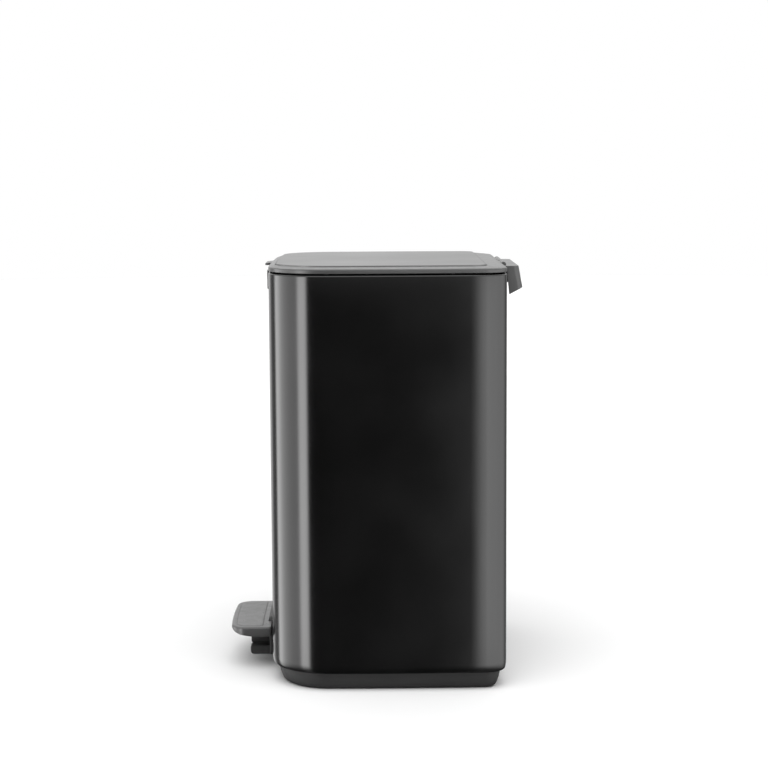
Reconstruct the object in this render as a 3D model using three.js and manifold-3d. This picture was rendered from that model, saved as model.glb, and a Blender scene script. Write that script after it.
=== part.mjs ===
// Pedal trash can: a steel shell on a plastic base, with a hanging inner bucket and a hinged lid.
// The pedal lever turns on an axle in the base and lifts a push rod at the back, and the rod's cross
// pin lifts the slotted crank under the lid.
// Millimetres, +Z up. The pedal faces -Y and X is across. The origin is on the floor, below the
// middle of the whole object's footprint.
import * as THREE from 'three';
import { mergeVertices } from 'three/addons/utils/BufferGeometryUtils.js';
import Module from 'manifold-3d';

const wasm = await Module();
wasm.setup();

// ---------------------------------------------------------------- driving dimensions
// Body
const bodyWidth = 270;
const bodyDepth = 220;
const shellBottom = 16.8;
const shellTop = 384.7;
const shellWall = 0.8;
const topHem = 1.8;
const bottomHem = 4.6;
const bottomTuck = 1.5;
const bottomTuckHeight = 7;
const frontCornerRadius = 53;
const backCornerRadius = 20;
const sideBow = 2.6;
const frontBow = 2.4;

// Base
const baseFloorUnderside = 2.8;
const baseFloor = 2.6;
const baseWall = 2.5;
const baseFootInset = 13;
const baseSpigotHeight = 13;
const slipRingWidth = 7;

// Collar and bucket
const collarInset = 2.2;
const collarDrop = 20;
const collarRim = 4.4;
const collarShelfDepth = 9;
const collarShelf = 2;
const collarShelfWidth = 5;
const bucketFlange = 2.4;
const bucketWall = 1.8;
const bucketFloorHeight = 49;
const bucketTaper = 9;

// Lid
const lidEdgeHeight = 4.3;
const lidPanel = 3.1;
const lidSlope = 1.8;
const plateInset = 7.2;
const plateBackInset = 19;
const plateSide = 3.7;
const plateCrown = 0.3;
const plateSheet = 1;
const linerDepth = 5;
const linerWall = 1.8;
const lipReach = 5.3;
const lipHalfWidth = 18;
const lipThickness = 1.9;
const lipRise = 1.8;
const bumperRadius = 1.8;

// Lid hinge
const hingeBehindBody = 1.2;
const hingeAboveShell = 4.5;
const hingePinRadius = 1.2;
const knuckleRadius = 2.4;
const knuckleLength = 16;
const knuckleStart = 18;

// Lid crank and push rod
const openAngle = 80;
const rodFromHinge = 16.8;
const crankThickness = 4;
const rodPinRadius = 1.5;
const rodHalfWidth = 4;
const rodThickness = 3;
const forkProng = 3;
const slotEase = 1.1;

// Pedal
const padWidth = 111;
const padTop = 42.2;
const padThickness = 9.6;
const padReach = 41.8;
const padGap = 1.8;
const padClearance = 1;
const padCornerRadius = 15;
const padBow = 2;
const treadInset = 5;
const treadThickness = 1.2;
const neckHalfWidth = 15;
const neckReach = 23.8;
const axleSetback = 50;
const axleHeight = 18.4;
const axleRadius = 2.5;
const axleLength = 46;
const leverHalfWidth = 10;
const leverThickness = 4;

// Carry handle
const handleHalfWidth = 61;
const handleAboveShell = 3.6;
const handleTopReach = 14.8;
const handleBackReach = 18.6;
const handleDrop = 20.1;
const handleInnerDrop = 26.7;
const handleWall = 2.5;
const handleFingerGap = 5.9;
const handleCorner = 10;
const handleSeam = 0.6;
const handleSeamDrop = 3.4;
const handleNeck = 2;
const handleNeckDrop = 6;
const handleSkin = 3;
const tongueMargin = 8;
const tongueFoot = 6;
const tongueThickness = 2.2;
const knuckleWeb = 2.4;
const knuckleWebTop = 0.4;

// Fits
const fixedGap = 0.3;
const runningGap = 0.3;
const slidingGap = 1.1;
const lidGap = 1.4;

// ---------------------------------------------------------------- derived places
const halfWidth = bodyWidth / 2;
const halfDepth = bodyDepth / 2;
const wallInside = halfDepth - shellWall;
const hingeY = halfDepth + hingeBehindBody;
const hingeHeight = shellTop + hingeAboveShell;
const handleTop = shellTop + handleAboveShell;
const rodY = hingeY - rodFromHinge;
const axleY = -halfDepth + axleSetback;
const halfOpen = THREE.MathUtils.degToRad(openAngle / 2);
const rodTravel = 2 * rodFromHinge * Math.tan(halfOpen);
const slotHalfWidth = rodPinRadius + slotEase;
const slotNear = rodFromHinge - slidingGap / 2;
const slotFar = rodFromHinge / Math.cos(halfOpen) + slidingGap / 2;
const crankHalfWidth = slotHalfWidth + 2;
const crankReach = slotFar + crankHalfWidth;
const crankFront = hingeY - crankReach - slidingGap;
const rodPinZ = hingeHeight - rodFromHinge * Math.tan(halfOpen);
const lidBottom = shellTop + lidGap;
const frameTop = lidBottom + lidEdgeHeight;
const plateBack = halfDepth - plateBackInset;
const bucketBack = crankFront - slidingGap;
const shelfTop = shellTop - collarShelfDepth;
const leverTop = axleHeight + leverThickness / 2;
const handleBack = halfDepth + handleBackReach;
const padTipY = -(halfDepth + padReach);
const originShift = -(padTipY + handleBack) / 2;

// ---------------------------------------------------------------- solids
const CORNER_STEPS = { front: 8, back: 5 };
const SIDE_STEPS = 4;
const ROUND_SIDES = 20;

function solid(geometry) {
  const bare = geometry.index ? geometry.clone() : geometry;
  bare.deleteAttribute('normal');
  bare.deleteAttribute('uv');
  const merged = mergeVertices(bare, 1e-4);
  return new wasm.Manifold(new wasm.Mesh({
    numProp: 3,
    vertProperties: new Float32Array(merged.attributes.position.array),
    triVerts: new Uint32Array(merged.index.array),
  }));
}

function geometryOf(manifold) {
  const mesh = manifold.getMesh();
  const geometry = new THREE.BufferGeometry();
  geometry.setAttribute('position', new THREE.BufferAttribute(new Float32Array(mesh.vertProperties), 3));
  geometry.setIndex(new THREE.BufferAttribute(new Uint32Array(mesh.triVerts), 1));
  geometry.computeVertexNormals();
  return geometry;
}

function block(xRange, yRange, zRange) {
  const size = [xRange, yRange, zRange].map(([low, high]) => high - low);
  const middle = [xRange, yRange, zRange].map(([low, high]) => (low + high) / 2);
  return solid(new THREE.BoxGeometry(...size).translate(...middle));
}

// A round bar from one end to the other along X, Y or Z; place holds the two other coordinates.
function round(axis, radius, [from, to], place, endRadius = radius) {
  const geometry = new THREE.CylinderGeometry(endRadius, radius, to - from, ROUND_SIDES);
  const middle = (from + to) / 2;
  if (axis === 'x') geometry.rotateZ(-Math.PI / 2).translate(middle, place[0], place[1]);
  if (axis === 'y') geometry.translate(place[0], middle, place[1]);
  if (axis === 'z') geometry.rotateX(Math.PI / 2).translate(place[0], place[1], middle);
  return solid(geometry);
}

// A plan outline in X and Y raised from one height to another.
function raised(points, [low, high]) {
  const shape = new THREE.Shape(points);
  const geometry = new THREE.ExtrudeGeometry(shape, { depth: high - low, bevelEnabled: false });
  return solid(geometry.translate(0, 0, low));
}

// A side profile in Y and Z stretched across X. Local X becomes Y, local Y becomes Z.
function across(points, [left, right]) {
  const shape = points instanceof THREE.Shape ? points : new THREE.Shape(points);
  const geometry = new THREE.ExtrudeGeometry(shape, { depth: right - left, bevelEnabled: false });
  const turn = new THREE.Matrix4().makeBasis(
    new THREE.Vector3(0, 1, 0),
    new THREE.Vector3(0, 0, 1),
    new THREE.Vector3(1, 0, 0),
  );
  return solid(geometry.applyMatrix4(turn).translate(left, 0, 0));
}

const point = (x, y) => new THREE.Vector2(x, y);

// The body's flat sides bow outwards a little: width is lost towards front and back, and the front
// edge falls back towards the corners.
function bowed(x, y) {
  const lostWidth = (sideBow / halfWidth) * (y / halfDepth) ** 2;
  const lostDepth = y < 0 ? (frontBow / halfDepth) * (x / halfWidth) ** 2 : 0;
  return point(x * (1 - lostWidth), y * (1 - lostDepth));
}

function roundedPlan(width, front, back, frontRadius, backRadius) {
  const corners = [
    { x: width - frontRadius, y: front + frontRadius, radius: frontRadius, steps: CORNER_STEPS.front },
    { x: width - backRadius, y: back - backRadius, radius: backRadius, steps: CORNER_STEPS.back },
    { x: -(width - backRadius), y: back - backRadius, radius: backRadius, steps: CORNER_STEPS.back },
    { x: -(width - frontRadius), y: front + frontRadius, radius: frontRadius, steps: CORNER_STEPS.front },
  ];
  const outline = [];
  corners.forEach((corner, index) => {
    for (let step = 0; step <= corner.steps; step += 1) {
      const angle = (Math.PI / 2) * (index - 1 + step / corner.steps);
      outline.push(point(
        corner.x + corner.radius * Math.cos(angle),
        corner.y + corner.radius * Math.sin(angle),
      ));
    }
    const next = corners[(index + 1) % corners.length];
    const end = outline[outline.length - 1];
    const start = point(
      next.x + next.radius * Math.cos((Math.PI / 2) * index),
      next.y + next.radius * Math.sin((Math.PI / 2) * index),
    );
    for (let step = 1; step < SIDE_STEPS; step += 1) {
      outline.push(end.clone().lerp(start, step / SIDE_STEPS));
    }
  });
  return outline;
}

// The body's plan drawn in by an inset; back says where its back edge lies.
function plan(inset, back = halfDepth - inset) {
  const frontRadius = Math.max(frontCornerRadius - inset, backCornerRadius / 2);
  const backRadius = Math.max(backCornerRadius - inset, backCornerRadius / 4);
  const outline = roundedPlan(halfWidth - inset, -(halfDepth - inset), back, frontRadius, backRadius);
  return outline.map(({ x, y }) => bowed(x, y));
}

// A skin over a stack of plan outlines. Each level is [inset, height, back edge]. An open stack is
// capped at both ends, and a ring joins its last level to its first.
function stack(levels, ring = false) {
  const outlines = levels.map(([inset, , back]) => plan(inset, back));
  const count = outlines[0].length;
  const positions = [];
  outlines.forEach((outline, level) => {
    outline.forEach(({ x, y }) => positions.push(x, y, levels[level][1]));
  });
  const triangles = [];
  const spans = ring ? levels.length : levels.length - 1;
  for (let level = 0; level < spans; level += 1) {
    const below = level * count;
    const above = ((level + 1) % levels.length) * count;
    for (let side = 0; side < count; side += 1) {
      const next = (side + 1) % count;
      triangles.push(below + side, below + next, above + next);
      triangles.push(below + side, above + next, above + side);
    }
  }
  if (!ring) {
    const top = (levels.length - 1) * count;
    THREE.ShapeUtils.triangulateShape(outlines[0], []).forEach(([a, b, c]) => triangles.push(a, c, b));
    THREE.ShapeUtils.triangulateShape(outlines[levels.length - 1], [])
      .forEach(([a, b, c]) => triangles.push(top + a, top + b, top + c));
  }
  const geometry = new THREE.BufferGeometry();
  geometry.setAttribute('position', new THREE.Float32BufferAttribute(positions, 3));
  geometry.setIndex(triangles);
  return solid(geometry);
}

function joined(first, ...others) {
  return others.reduce((sum, other) => sum.add(other), first);
}

function cut(from, ...tools) {
  return tools.reduce((rest, tool) => rest.subtract(tool), from);
}

const LEFT_AND_RIGHT = [['left', -1], ['right', 1]];

// ---------------------------------------------------------------- materials
const finishes = {
  blackSteel: { color: 0x0e0e0f, roughness: 0.32, metalness: 0.9 },
  greyPlastic: { color: 0x4a4a4b, roughness: 0.5, metalness: 0 },
  darkPlastic: { color: 0x2b2b2c, roughness: 0.55, metalness: 0 },
  plateMetal: { color: 0x6c6c6d, roughness: 0.38, metalness: 0.8 },
  zincSteel: { color: 0xb9bcc0, roughness: 0.35, metalness: 0.9 },
  rubber: { color: 0x161617, roughness: 0.85, metalness: 0 },
  bucketPlastic: { color: 0x39393b, roughness: 0.5, metalness: 0 },
};

const trashCan = new THREE.Group();
const body = new THREE.Group();
body.position.set(0, originShift, 0);
trashCan.add(body);

function place(name, manifold, finish) {
  const material = new THREE.MeshStandardMaterial(finishes[finish]);
  const mesh = new THREE.Mesh(geometryOf(manifold), material);
  mesh.name = name;
  body.add(mesh);
}

// ---------------------------------------------------------------- screws
// A pan-head screw along Y or Z. The head stands against a face at start, and the shank runs on from it.
const screwShank = 1.5;
const screwHead = 2.9;
const screwHeadHeight = 1.6;
const screwHole = screwShank + fixedGap;

function screw(axis, position, start, length, direction) {
  const headEnd = start - direction * screwHeadHeight;
  const shankEnd = start + direction * length;
  const overlap = start - direction * (screwHeadHeight / 2);
  const head = round(axis, screwHead, [Math.min(start, headEnd), Math.max(start, headEnd)], position);
  const shankSpan = [Math.min(overlap, shankEnd), Math.max(overlap, shankEnd)];
  const shank = round(axis, screwShank, shankSpan, position);
  return head.add(shank);
}

// ---------------------------------------------------------------- pedal guard and its screws
const guardHalfWidth = 30;
const guardThickness = 4.6;
const guardBottom = 8.8;
const guardTop = 46;
const windowHalfWidth = neckHalfWidth + 2 * runningGap + slidingGap;
const windowTop = padTop - padThickness + 2;
const guardBackY = -(halfDepth + fixedGap);
const guardFrontY = guardBackY - guardThickness;
const toeTop = 17.3;
const toeBottom = 8.6;
const toeReach = 23.6;
const toeRound = 3.6;
const toeBevel = 1.6;
const toeHalfWidth = 28;
const guardScrewX = 22;
const guardScrewZ = guardTop - 6;
const guardScrewBite = 2;

function pedalGuard() {
  const plate = block(
    [-guardHalfWidth, guardHalfWidth],
    [guardFrontY, guardBackY],
    [guardBottom, guardTop],
  );
  const window = block(
    [-windowHalfWidth, windowHalfWidth],
    [guardFrontY - 1, guardBackY + 1],
    [0, windowTop],
  );
  const tipY = -(halfDepth + toeReach);
  const side = new THREE.Shape();
  side.moveTo(guardFrontY + 1, toeBottom + 0.5);
  side.lineTo(guardFrontY + 1, toeTop);
  side.lineTo(tipY + toeBevel, toeTop);
  side.lineTo(tipY, toeTop - toeBevel);
  side.lineTo(tipY, toeBottom + toeRound);
  side.absarc(tipY + toeRound, toeBottom + toeRound, toeRound, Math.PI, 1.5 * Math.PI, false);
  const toes = LEFT_AND_RIGHT.map(([, sign]) => {
    const inner = sign * windowHalfWidth;
    const outer = sign * toeHalfWidth;
    return across(side, [Math.min(inner, outer), Math.max(inner, outer)]);
  });
  const holes = LEFT_AND_RIGHT.map(([, sign]) => round(
    'y',
    screwHole,
    [guardBackY - guardScrewBite - fixedGap, guardBackY + 1],
    [sign * guardScrewX, guardScrewZ],
  ));
  return cut(joined(plate, ...toes), window, ...holes);
}

// ---------------------------------------------------------------- shell
const handleScrewX = 26;
const handleScrewZ = shellTop - 30;
const handleScrewBite = 1.6;

function wallHole(x, z, sign) {
  return round('y', screwHole, [Math.min(0, sign * bodyDepth), Math.max(0, sign * bodyDepth)], [x, z]);
}

function bodyShell() {
  const wall = stack([
    [bottomTuck, shellBottom],
    [bottomTuck / 4, shellBottom + bottomTuckHeight / 2],
    [0, shellBottom + bottomTuckHeight],
    [0, shellTop - shellWall / 2],
    [shellWall / 2, shellTop],
    [topHem, shellTop],
    [topHem, shellTop - shellWall],
    [shellWall, shellTop - shellWall],
    [shellWall, shellBottom + bottomTuckHeight],
    [bottomTuck + shellWall, shellBottom + shellWall],
    [bottomHem, shellBottom + shellWall],
    [bottomHem, shellBottom],
  ], true);
  const pedalNotch = block(
    [-windowHalfWidth, windowHalfWidth],
    [-bodyDepth, axleY],
    [0, windowTop],
  );
  const holes = LEFT_AND_RIGHT.flatMap(([, sign]) => [
    wallHole(sign * guardScrewX, guardScrewZ, -1),
    wallHole(sign * handleScrewX, handleScrewZ, 1),
  ]);
  return cut(wall, pedalNotch, ...holes);
}

place('body_shell', bodyShell(), 'blackSteel');
place('pedal_guard', pedalGuard(), 'darkPlastic');

LEFT_AND_RIGHT.forEach(([side, sign]) => {
  const x = sign * guardScrewX;
  const inside = bowed(guardScrewX, -wallInside).y + fixedGap;
  const length = Math.abs(guardBackY - inside) + guardScrewBite;
  place(`guard_screw_${side}`, screw('y', [x, guardScrewZ], inside, length, -1), 'zincSteel');
});

// ---------------------------------------------------------------- base
const spigotInset = bottomHem + fixedGap + 0.2;
const spigotTop = shellBottom + baseSpigotHeight;
const lugInner = leverHalfWidth + 3.6;
const lugOuter = lugInner + 5;
const lugHalfDepth = 6;
const lugTop = axleHeight + axleRadius + 3;
const notchDepth = 18;

function baseTray() {
  const floorTop = baseFloorUnderside + baseFloor;
  const tray = stack([
    [baseFootInset + 1, baseFloorUnderside],
    [baseFootInset, 0.8],
    [10.8, 1.1],
    [9, 3.2],
    [7.3, 7.4],
    [6, 12],
    [5.3, shellBottom - fixedGap],
    [spigotInset, shellBottom + fixedGap],
    [spigotInset, spigotTop],
    [spigotInset + baseWall, spigotTop],
    [spigotInset + baseWall + 1.2, 12],
    [spigotInset + baseWall + 5, 7.5],
    [spigotInset + baseWall + 9, floorTop],
  ]);
  const lugs = LEFT_AND_RIGHT.map(([, sign]) => {
    const inner = sign * lugInner;
    const outer = sign * lugOuter;
    return block(
      [Math.min(inner, outer), Math.max(inner, outer)],
      [axleY - lugHalfDepth, axleY + lugHalfDepth],
      [floorTop - 1, lugTop],
    );
  });
  const notch = block(
    [-windowHalfWidth, windowHalfWidth],
    [-bodyDepth, -halfDepth + notchDepth],
    [-1, spigotTop + 1],
  );
  const axleBore = round('x', axleRadius + runningGap, [-lugOuter - 1, lugOuter + 1], [axleY, axleHeight]);
  return cut(joined(tray, ...lugs), notch, axleBore);
}

place('base_tray', baseTray(), 'darkPlastic');

function antiSlipRing() {
  const outer = baseFootInset + 1 + fixedGap;
  const top = baseFloorUnderside - fixedGap;
  const inner = outer + slipRingWidth;
  return stack([[outer, 0], [outer, top], [inner, top], [inner, 0]], true);
}

place('anti_slip_ring', antiSlipRing(), 'rubber');

// ---------------------------------------------------------------- collar and bucket
const collarInner = collarInset + collarRim;
const shelfInner = collarInner + collarShelfWidth;
const shelfBack = bucketBack - 4;

function topCollar() {
  const bottom = shellTop - collarDrop;
  const top = shellTop - fixedGap;
  const wall = 2;
  const collar = stack([
    [collarInset, bottom],
    [collarInset, top],
    [collarInner, top, halfDepth - collarInset - wall],
    [collarInner, shelfTop, halfDepth - collarInset - wall],
    [shelfInner, shelfTop, shelfBack],
    [shelfInner, shelfTop - collarShelf, shelfBack],
    [collarInset + wall, shelfTop - collarShelf],
    [collarInset + wall, bottom],
  ], true);
  const slotHalf = rodHalfWidth + forkProng + slidingGap;
  const crankSlot = block(
    [-slotHalf, slotHalf],
    [crankFront, halfDepth - collarInset - wall],
    [bottom, top],
  );
  return cut(collar, crankSlot);
}

place('top_collar', topCollar(), 'darkPlastic');

function innerBucket() {
  const flangeUnder = shelfTop + fixedGap;
  const flangeTop = flangeUnder + bucketFlange;
  const outside = shelfInner + 0.8;
  const flange = collarInner + fixedGap + 0.2;
  const foot = outside + bucketTaper;
  const wallBack = shelfBack - 0.8;
  const footBack = wallBack - bucketTaper / 2;
  const heel = 6;
  return stack([
    [foot + heel, bucketFloorHeight, footBack - heel],
    [foot + heel / 4, bucketFloorHeight + heel / 4, footBack - heel / 4],
    [foot, bucketFloorHeight + heel, footBack],
    [outside, flangeUnder, wallBack],
    [flange, flangeUnder, bucketBack],
    [flange, flangeTop, bucketBack],
    [outside + bucketWall, flangeTop, wallBack - bucketWall],
    [foot + bucketWall, bucketFloorHeight + heel + bucketWall, footBack - bucketWall],
    [foot + heel + bucketWall, bucketFloorHeight + bucketWall, footBack - heel - bucketWall],
  ]);
}

place('inner_bucket', innerBucket(), 'bucketPlastic');

// ---------------------------------------------------------------- badge and carry handle
const badgeHalfWidth = 14;
const badgeThickness = 3.4;
const badgeDrop = 1.7;
const badgeTop = shellTop - badgeDrop;
const badgeHeight = 18.6;
const badgeCorner = 3;

function frontBadge() {
  const back = -(halfDepth + fixedGap);
  const face = roundedPlan(badgeHalfWidth, badgeTop - badgeHeight, badgeTop, badgeCorner, badgeCorner);
  const shape = new THREE.Shape(face);
  const geometry = new THREE.ExtrudeGeometry(shape, { depth: badgeThickness, bevelEnabled: false });
  return solid(geometry.rotateX(Math.PI / 2).translate(0, back, 0));
}

place('front_badge', frontBadge(), 'greyPlastic');

const knuckleClearance = knuckleRadius + runningGap + 0.1;
const fixedKnuckles = [
  [-(knuckleStart + 2 * knuckleLength), -(knuckleStart + knuckleLength + runningGap)],
  [-(knuckleStart - runningGap), knuckleStart - runningGap],
  [knuckleStart + knuckleLength + runningGap, knuckleStart + 2 * knuckleLength],
];
const lidKnuckles = [
  [-(knuckleStart + knuckleLength), -knuckleStart],
  [knuckleStart, knuckleStart + knuckleLength],
];
const hingeEnd = knuckleStart + 2 * knuckleLength;
const pinBore = hingePinRadius + runningGap;

function knuckle([left, right]) {
  return round('x', knuckleRadius, [left, right], [hingeY, hingeHeight]);
}

function carryHandle() {
  const lipZ = handleTop - handleDrop;
  const innerZ = handleTop - handleInnerDrop;
  const inside = halfDepth + handleFingerGap;
  const topY = halfDepth + handleTopReach;
  const front = halfDepth + handleSeam;
  const outer = [
    point(front, handleTop - handleSeamDrop),
    point(inside - handleNeck, handleTop - handleNeckDrop),
    point(inside, innerZ),
    point(handleBack, lipZ),
    point(topY, handleTop),
    point(front, handleTop),
  ];
  const hollow = [
    point(inside - 4, innerZ - 5),
    point(handleBack - handleWall + 1.6, lipZ - 5),
    point(handleBack - handleWall, lipZ),
    point(topY - handleWall, handleTop - handleSkin),
    point(inside - 4, handleTop - handleSkin),
  ];
  const hood = across(outer, [-handleHalfWidth, handleHalfWidth]);
  const hollowHalf = handleHalfWidth - handleWall;
  const corners = roundedPlan(handleHalfWidth, 0, handleBack, handleCorner / 2, handleCorner);
  const trimmed = hood.intersect(raised(corners, [innerZ - 10, handleTop + 10]));
  const tongueHalf = handleScrewX + tongueMargin;
  const tongueBack = halfDepth + fixedGap + tongueThickness;
  const tongue = block(
    [-tongueHalf, tongueHalf],
    [halfDepth + fixedGap, tongueBack],
    [handleScrewZ - tongueFoot, handleTop - handleSkin / 2],
  );
  const web = block(
    [-hingeEnd, hingeEnd],
    [hingeY, inside],
    [handleTop - handleSkin, handleTop],
  );
  const pocket = round('x', knuckleClearance, [-hingeEnd - 1, hingeEnd + 1], [hingeY, hingeHeight]);
  const bore = round('x', pinBore, [-hingeEnd - 1, hingeEnd + 1], [hingeY, hingeHeight]);
  const armSpace = block(
    [-hingeEnd - runningGap, hingeEnd + runningGap],
    [halfDepth - 10, hingeY],
    [lidBottom - lidGap / 2, handleTop + 10],
  );
  const holes = LEFT_AND_RIGHT.map(([, sign]) => round(
    'y',
    screwHole,
    [halfDepth, halfDepth + fixedGap + handleScrewBite + fixedGap],
    [sign * handleScrewX, handleScrewZ],
  ));
  const shaped = cut(
    joined(cut(trimmed, across(hollow, [-hollowHalf, hollowHalf])), tongue, web),
    pocket,
    armSpace,
    ...holes,
  );
  const webs = fixedKnuckles.map(([left, right]) => block(
    [left, right],
    [hingeY, hingeY + knuckleClearance + 1],
    [handleTop - knuckleWeb, handleTop - knuckleWebTop],
  ));
  return cut(joined(shaped, ...fixedKnuckles.map(knuckle), ...webs), bore);
}

place('carry_handle', carryHandle(), 'greyPlastic');
place('hinge_pin', round('x', hingePinRadius, [-hingeEnd, hingeEnd], [hingeY, hingeHeight]), 'zincSteel');

LEFT_AND_RIGHT.forEach(([side, sign]) => {
  const inside = wallInside - fixedGap;
  const length = halfDepth + fixedGap + handleScrewBite - inside;
  const position = [sign * handleScrewX, handleScrewZ];
  place(`handle_screw_${side}`, screw('y', position, inside, length, 1), 'zincSteel');
});

// ---------------------------------------------------------------- lid
const frameBackCut = halfDepth - 2.4;
const bumperInset = collarInset + collarRim / 2;
const bumperPlaces = [-55, 60].flatMap((y) => LEFT_AND_RIGHT.map(([side, sign]) => ({
  name: `lid_bumper_${y < 0 ? 'front' : 'back'}_${side}`,
  at: bowed(sign * (halfWidth - bumperInset), y),
})));
const bumperTop = lidBottom + 1.6;
const crankScrewX = 9.6;
const crankFlange = 2;
const crankFlangeTop = lidBottom - fixedGap;
const crankFlangeFront = hingeY - 26;
const crankFlangeBack = hingeY - 6.5;
const crankScrewY = (crankFlangeFront + crankFlangeBack) / 2;
const crankScrewBite = 2.2;

function lidFrame() {
  const panelTop = lidBottom + lidPanel;
  const frame = stack([
    [0.4, lidBottom],
    [0, lidBottom + 0.4],
    [0, frameTop - 0.6],
    [0.6, frameTop],
    [plateInset - fixedGap - 1, frameTop + lidSlope, plateBack + fixedGap + 1],
    [plateInset - fixedGap, frameTop + lidSlope - 0.4, plateBack + fixedGap],
    [plateInset - fixedGap, panelTop, plateBack + fixedGap],
  ]);
  const lipTip = -(halfDepth + lipReach);
  const lip = across([
    point(-halfDepth + 4, lidBottom + lipRise),
    point(-halfDepth + 4, frameTop),
    point(-halfDepth + 1, frameTop),
    point(lipTip, lidBottom + lipRise + lipThickness),
    point(lipTip, lidBottom + lipRise + 0.3),
    point(lipTip + 1, lidBottom + lipRise),
  ], [-lipHalfWidth, lipHalfWidth]);
  const lipPlan = roundedPlan(lipHalfWidth, lipTip, 0, lipReach, lipReach);
  const hingeRoom = block(
    [-hingeEnd - 1, hingeEnd + 1],
    [frameBackCut, bodyDepth],
    [0, bodyDepth * 2],
  );
  const arms = lidKnuckles.map(([left, right]) => block(
    [left, right],
    [frameBackCut - 3, hingeY],
    [lidBottom + 0.8, frameTop],
  ));
  const bore = round('x', pinBore, [-hingeEnd, hingeEnd], [hingeY, hingeHeight]);
  const sockets = bumperPlaces.map(({ at }) => round(
    'z',
    bumperRadius + fixedGap,
    [lidBottom - 1, bumperTop + fixedGap],
    [at.x, at.y],
  ));
  const screwHoles = LEFT_AND_RIGHT.map(([, sign]) => round(
    'z',
    screwHole,
    [lidBottom - 1, lidBottom + crankScrewBite + fixedGap],
    [sign * crankScrewX, crankScrewY],
  ));
  const trimmedLip = lip.intersect(raised(lipPlan, [lidBottom - 1, frameTop + 1]));
  const framed = cut(joined(frame, trimmedLip), hingeRoom);
  return cut(joined(framed, ...arms, ...lidKnuckles.map(knuckle)), bore, ...sockets, ...screwHoles);
}

place('lid_frame', lidFrame(), 'greyPlastic');

bumperPlaces.forEach(({ name, at }) => {
  place(name, round('z', bumperRadius, [shellTop, bumperTop], [at.x, at.y], bumperRadius * 0.9), 'rubber');
});

function lidPlate() {
  const bottom = lidBottom + lidPanel + fixedGap;
  const edge = bottom + plateSide;
  const under = edge - plateSheet;
  const crownSteps = [[8, 0.5], [26, 0.85], [60, 1]];
  const crown = crownSteps.map(([step, share]) => [
    plateInset + step,
    edge + plateCrown * share,
    plateBack - step,
  ]);
  const inner = crownSteps.map(([step, share]) => [
    plateInset + step,
    under + plateCrown * share,
    plateBack - step,
  ]);
  return stack([
    ...inner.reverse(),
    [plateInset + plateSheet, under, plateBack - plateSheet],
    [plateInset + plateSheet, bottom, plateBack - plateSheet],
    [plateInset, bottom, plateBack],
    [plateInset, edge - 0.6, plateBack],
    [plateInset + 0.6, edge, plateBack - 0.6],
    ...crown,
  ]);
}

place('lid_plate', lidPlate(), 'plateMetal');

function lidLiner() {
  const top = lidBottom - fixedGap;
  const bottom = top - linerDepth;
  const edge = collarInner + slidingGap + 1;
  const back = crankFront - slidingGap;
  const skin = [[5, bottom], [2, bottom + 1.2], [0, top]];
  const inside = skin.slice(0, -1).map(([inset, height]) => [inset + linerWall, height + linerWall]);
  const levels = [...skin, [linerWall, top], ...inside.reverse()];
  return stack(levels.map(([inset, height]) => [edge + inset, height, back - inset]));
}

place('lid_liner', lidLiner(), 'bucketPlastic');

// A point at a distance from the hinge along the crank's slot, with the lid shut.
function alongCrank(distance) {
  return point(hingeY - distance * Math.cos(halfOpen), hingeHeight - distance * Math.sin(halfOpen));
}

// A bar with round ends along the crank, in the side view.
function crankBar(near, far, radius, [left, right]) {
  const start = alongCrank(near);
  const end = alongCrank(far);
  const turn = halfOpen;
  const shape = new THREE.Shape();
  shape.absarc(start.x, start.y, radius, turn - Math.PI / 2, turn + Math.PI / 2, false);
  shape.absarc(end.x, end.y, radius, turn + Math.PI / 2, turn + 1.5 * Math.PI, false);
  return across(new THREE.Shape(shape.getPoints(6)), [left, right]);
}

function lidCrank() {
  const half = crankThickness / 2;
  const flangeHalf = crankScrewX + screwHead;
  const flange = block(
    [-flangeHalf, flangeHalf],
    [crankFlangeFront, crankFlangeBack],
    [crankFlangeTop - crankFlange, crankFlangeTop],
  );
  const root = block(
    [-half, half],
    [alongCrank(slotFar).x, crankFlangeBack],
    [alongCrank(slotNear).y - 1, crankFlangeTop - crankFlange / 2],
  );
  const bar = crankBar(slotNear, slotFar, crankHalfWidth, [-half, half]);
  const slot = crankBar(slotNear, slotFar, slotHalfWidth, [-crankThickness, crankThickness]);
  const holes = LEFT_AND_RIGHT.map(([, sign]) => round(
    'z',
    screwHole,
    [crankFlangeTop - 2 * crankFlange, crankFlangeTop + 1],
    [sign * crankScrewX, crankScrewY],
  ));
  return cut(joined(flange, root, bar), slot, ...holes);
}

place('lid_crank', lidCrank(), 'zincSteel');

LEFT_AND_RIGHT.forEach(([side, sign]) => {
  const start = crankFlangeTop - crankFlange - fixedGap;
  const length = lidBottom + crankScrewBite - start;
  const position = [sign * crankScrewX, crankScrewY];
  place(`crank_screw_${side}`, screw('z', position, start, length, 1), 'zincSteel');
});

// ---------------------------------------------------------------- push rod
const forkSideGap = 0.5;
const forkHalfWidth = crankThickness / 2 + forkSideGap + forkProng;
const forkHalfDepth = 3.2;
const forkAbovePin = 3.2;
const forkTop = rodPinZ + forkAbovePin;
const crankRoom = 5.6;
const forkCrotch = rodPinZ - crankHalfWidth - crankRoom;
const forkRoot = 6;
const forkBottom = forkCrotch - forkRoot;
const rodPinFit = 0.2;
const footRadius = 3;
const footOverhang = 2;
const footGap = 0.5;
const footZ = leverTop + footGap + footRadius;

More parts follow.
